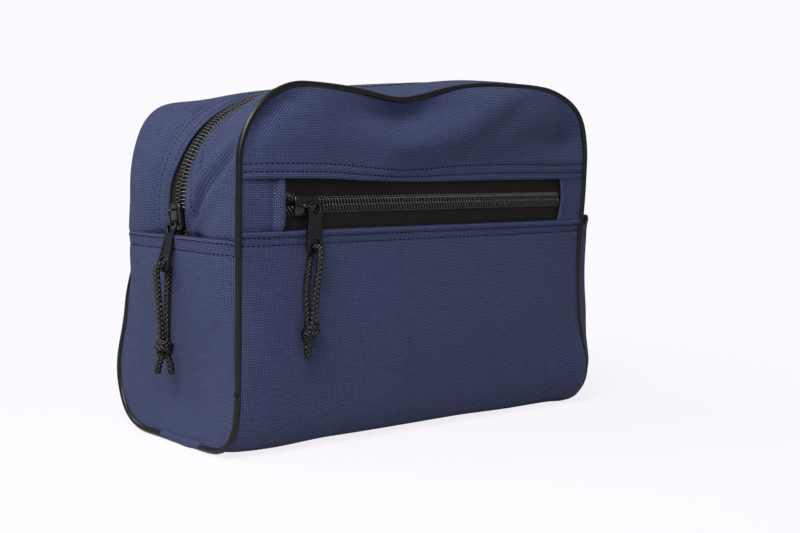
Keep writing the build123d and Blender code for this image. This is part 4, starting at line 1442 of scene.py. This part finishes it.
def tube_mesh(path, radius, sides):
    """Vertices and faces of a closed round tube, narrower at its two ends."""
    side, other = path_frames(path)[1:]
    radii = np.full(len(path), radius)
    radii[[0, -1]] *= 0.55
    return lofted(rings_round(path, side, other, radii, sides))


def braid(name, line, lay=9.6, size=1.08):
    """Eight strands that wind both ways over and under each other round a core."""
    path, marks = spaced(line, 0.42)
    side, other = path_frames(path)[1:]
    meshes = [tube_mesh(path, 0.8 * size, 8)]
    for way in (1, -1):
        for strand in range(4):
            turn = way * math.tau * marks / lay + math.tau * strand / 4 + (0.4 if way < 0 else 0)
            reach = size * (1.08 + way * 0.27 * np.cos(4 * math.tau * marks / lay))
            centre = path + reach[:, None] * (np.cos(turn)[:, None] * side + np.sin(turn)[:, None] * other)
            meshes.append(tube_mesh(centre, 0.53 * size, 6))
    return joined(name, meshes, cord_black, Matrix.Identity(4))


def pull_cord(name, origin, out_way, sway, push, drift, soon, splay, apart, lean):
    """A doubled, knotted cord; the full bag pushes it out and it hangs a little to one side."""
    where = local_place(origin, out_way, (0, 0, 1))

    def hung(points):
        points = np.array(points, float)
        low = ease(-points[:, 2] / soon)
        points[:, 0] += push[0] + (push[1] - push[0]) * low
        points[:, 1] += drift[0] + (drift[1] - drift[0]) * low
        return points

    leg = [(1.9, 0.3, -37), (2.2, 0.8, -31), (3.2, 1.6, -20), (3.6, 1.0, -8), (3.6, 0, 0), (3.1, 0, 2.85)]
    loop = [(-x, -y * sway, z) for x, y, z in leg] + [(x, y * sway, z) for x, y, z in leg[::-1]]
    line = cord_line(hung(loop), where)
    cord = braid(name + "_braid", line)

    turn = np.radians(np.arange(-150, 720, 30))
    share = np.linspace(0, 1, len(turn))
    wide = 2.3 + 1.1 * np.sin(math.pi * share)
    height = -35.8 - 5.8 * share + 1.5 * np.sin(turn + 0.6)
    turns = points_from(wide * np.cos(turn), wide * np.sin(turn), height)
    knot_path = np.concatenate([[[0, 0.4, -35]], turns, [[0, -0.4, -42]]])
    riders = [braid(name + "_knot", cord_line(hung(knot_path), where), 8.6, 1.05)]
    for side, spread, end in ((1, 2.6, "_tail_out"), (-1, 1.9, "_tail_in")):
        aside = lean - side * apart
        tail = [
            (side * 1.1, 0, -41),
            (side * 1.4 * splay, 0.25 * aside, -43.8),
            (side * 2.2 * splay, 0.7 * aside, -47.6),
            (side * spread * splay, aside, -51.8),
        ]
        riders.append(braid(name + end, cord_line(hung(tail), where), 9.4, 1.05))
    for item in (cord, *riders):
        place(item, name, "braided_cord")
    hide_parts(name)


pull_cord(
    "main_pull_cord",
    origin=(-134.473, 0, 89.4718),
    out_way=(-1, 0, 0),
    sway=1,
    push=(0.3, 1.6),
    drift=(0.3, 4.4),
    soon=36,
    splay=1.15,
    apart=2.6,
    lean=0.8,
)
pull_cord(
    "pocket_pull_cord",
    origin=(-81.15, -58.5663, 100.709),
    out_way=(0, -1, 0),
    sway=0.5,
    push=(0.8, 3.0),
    drift=(-1.5, -6.2),
    soon=17,
    splay=0.6,
    apart=1.1,
    lean=-2.2,
)
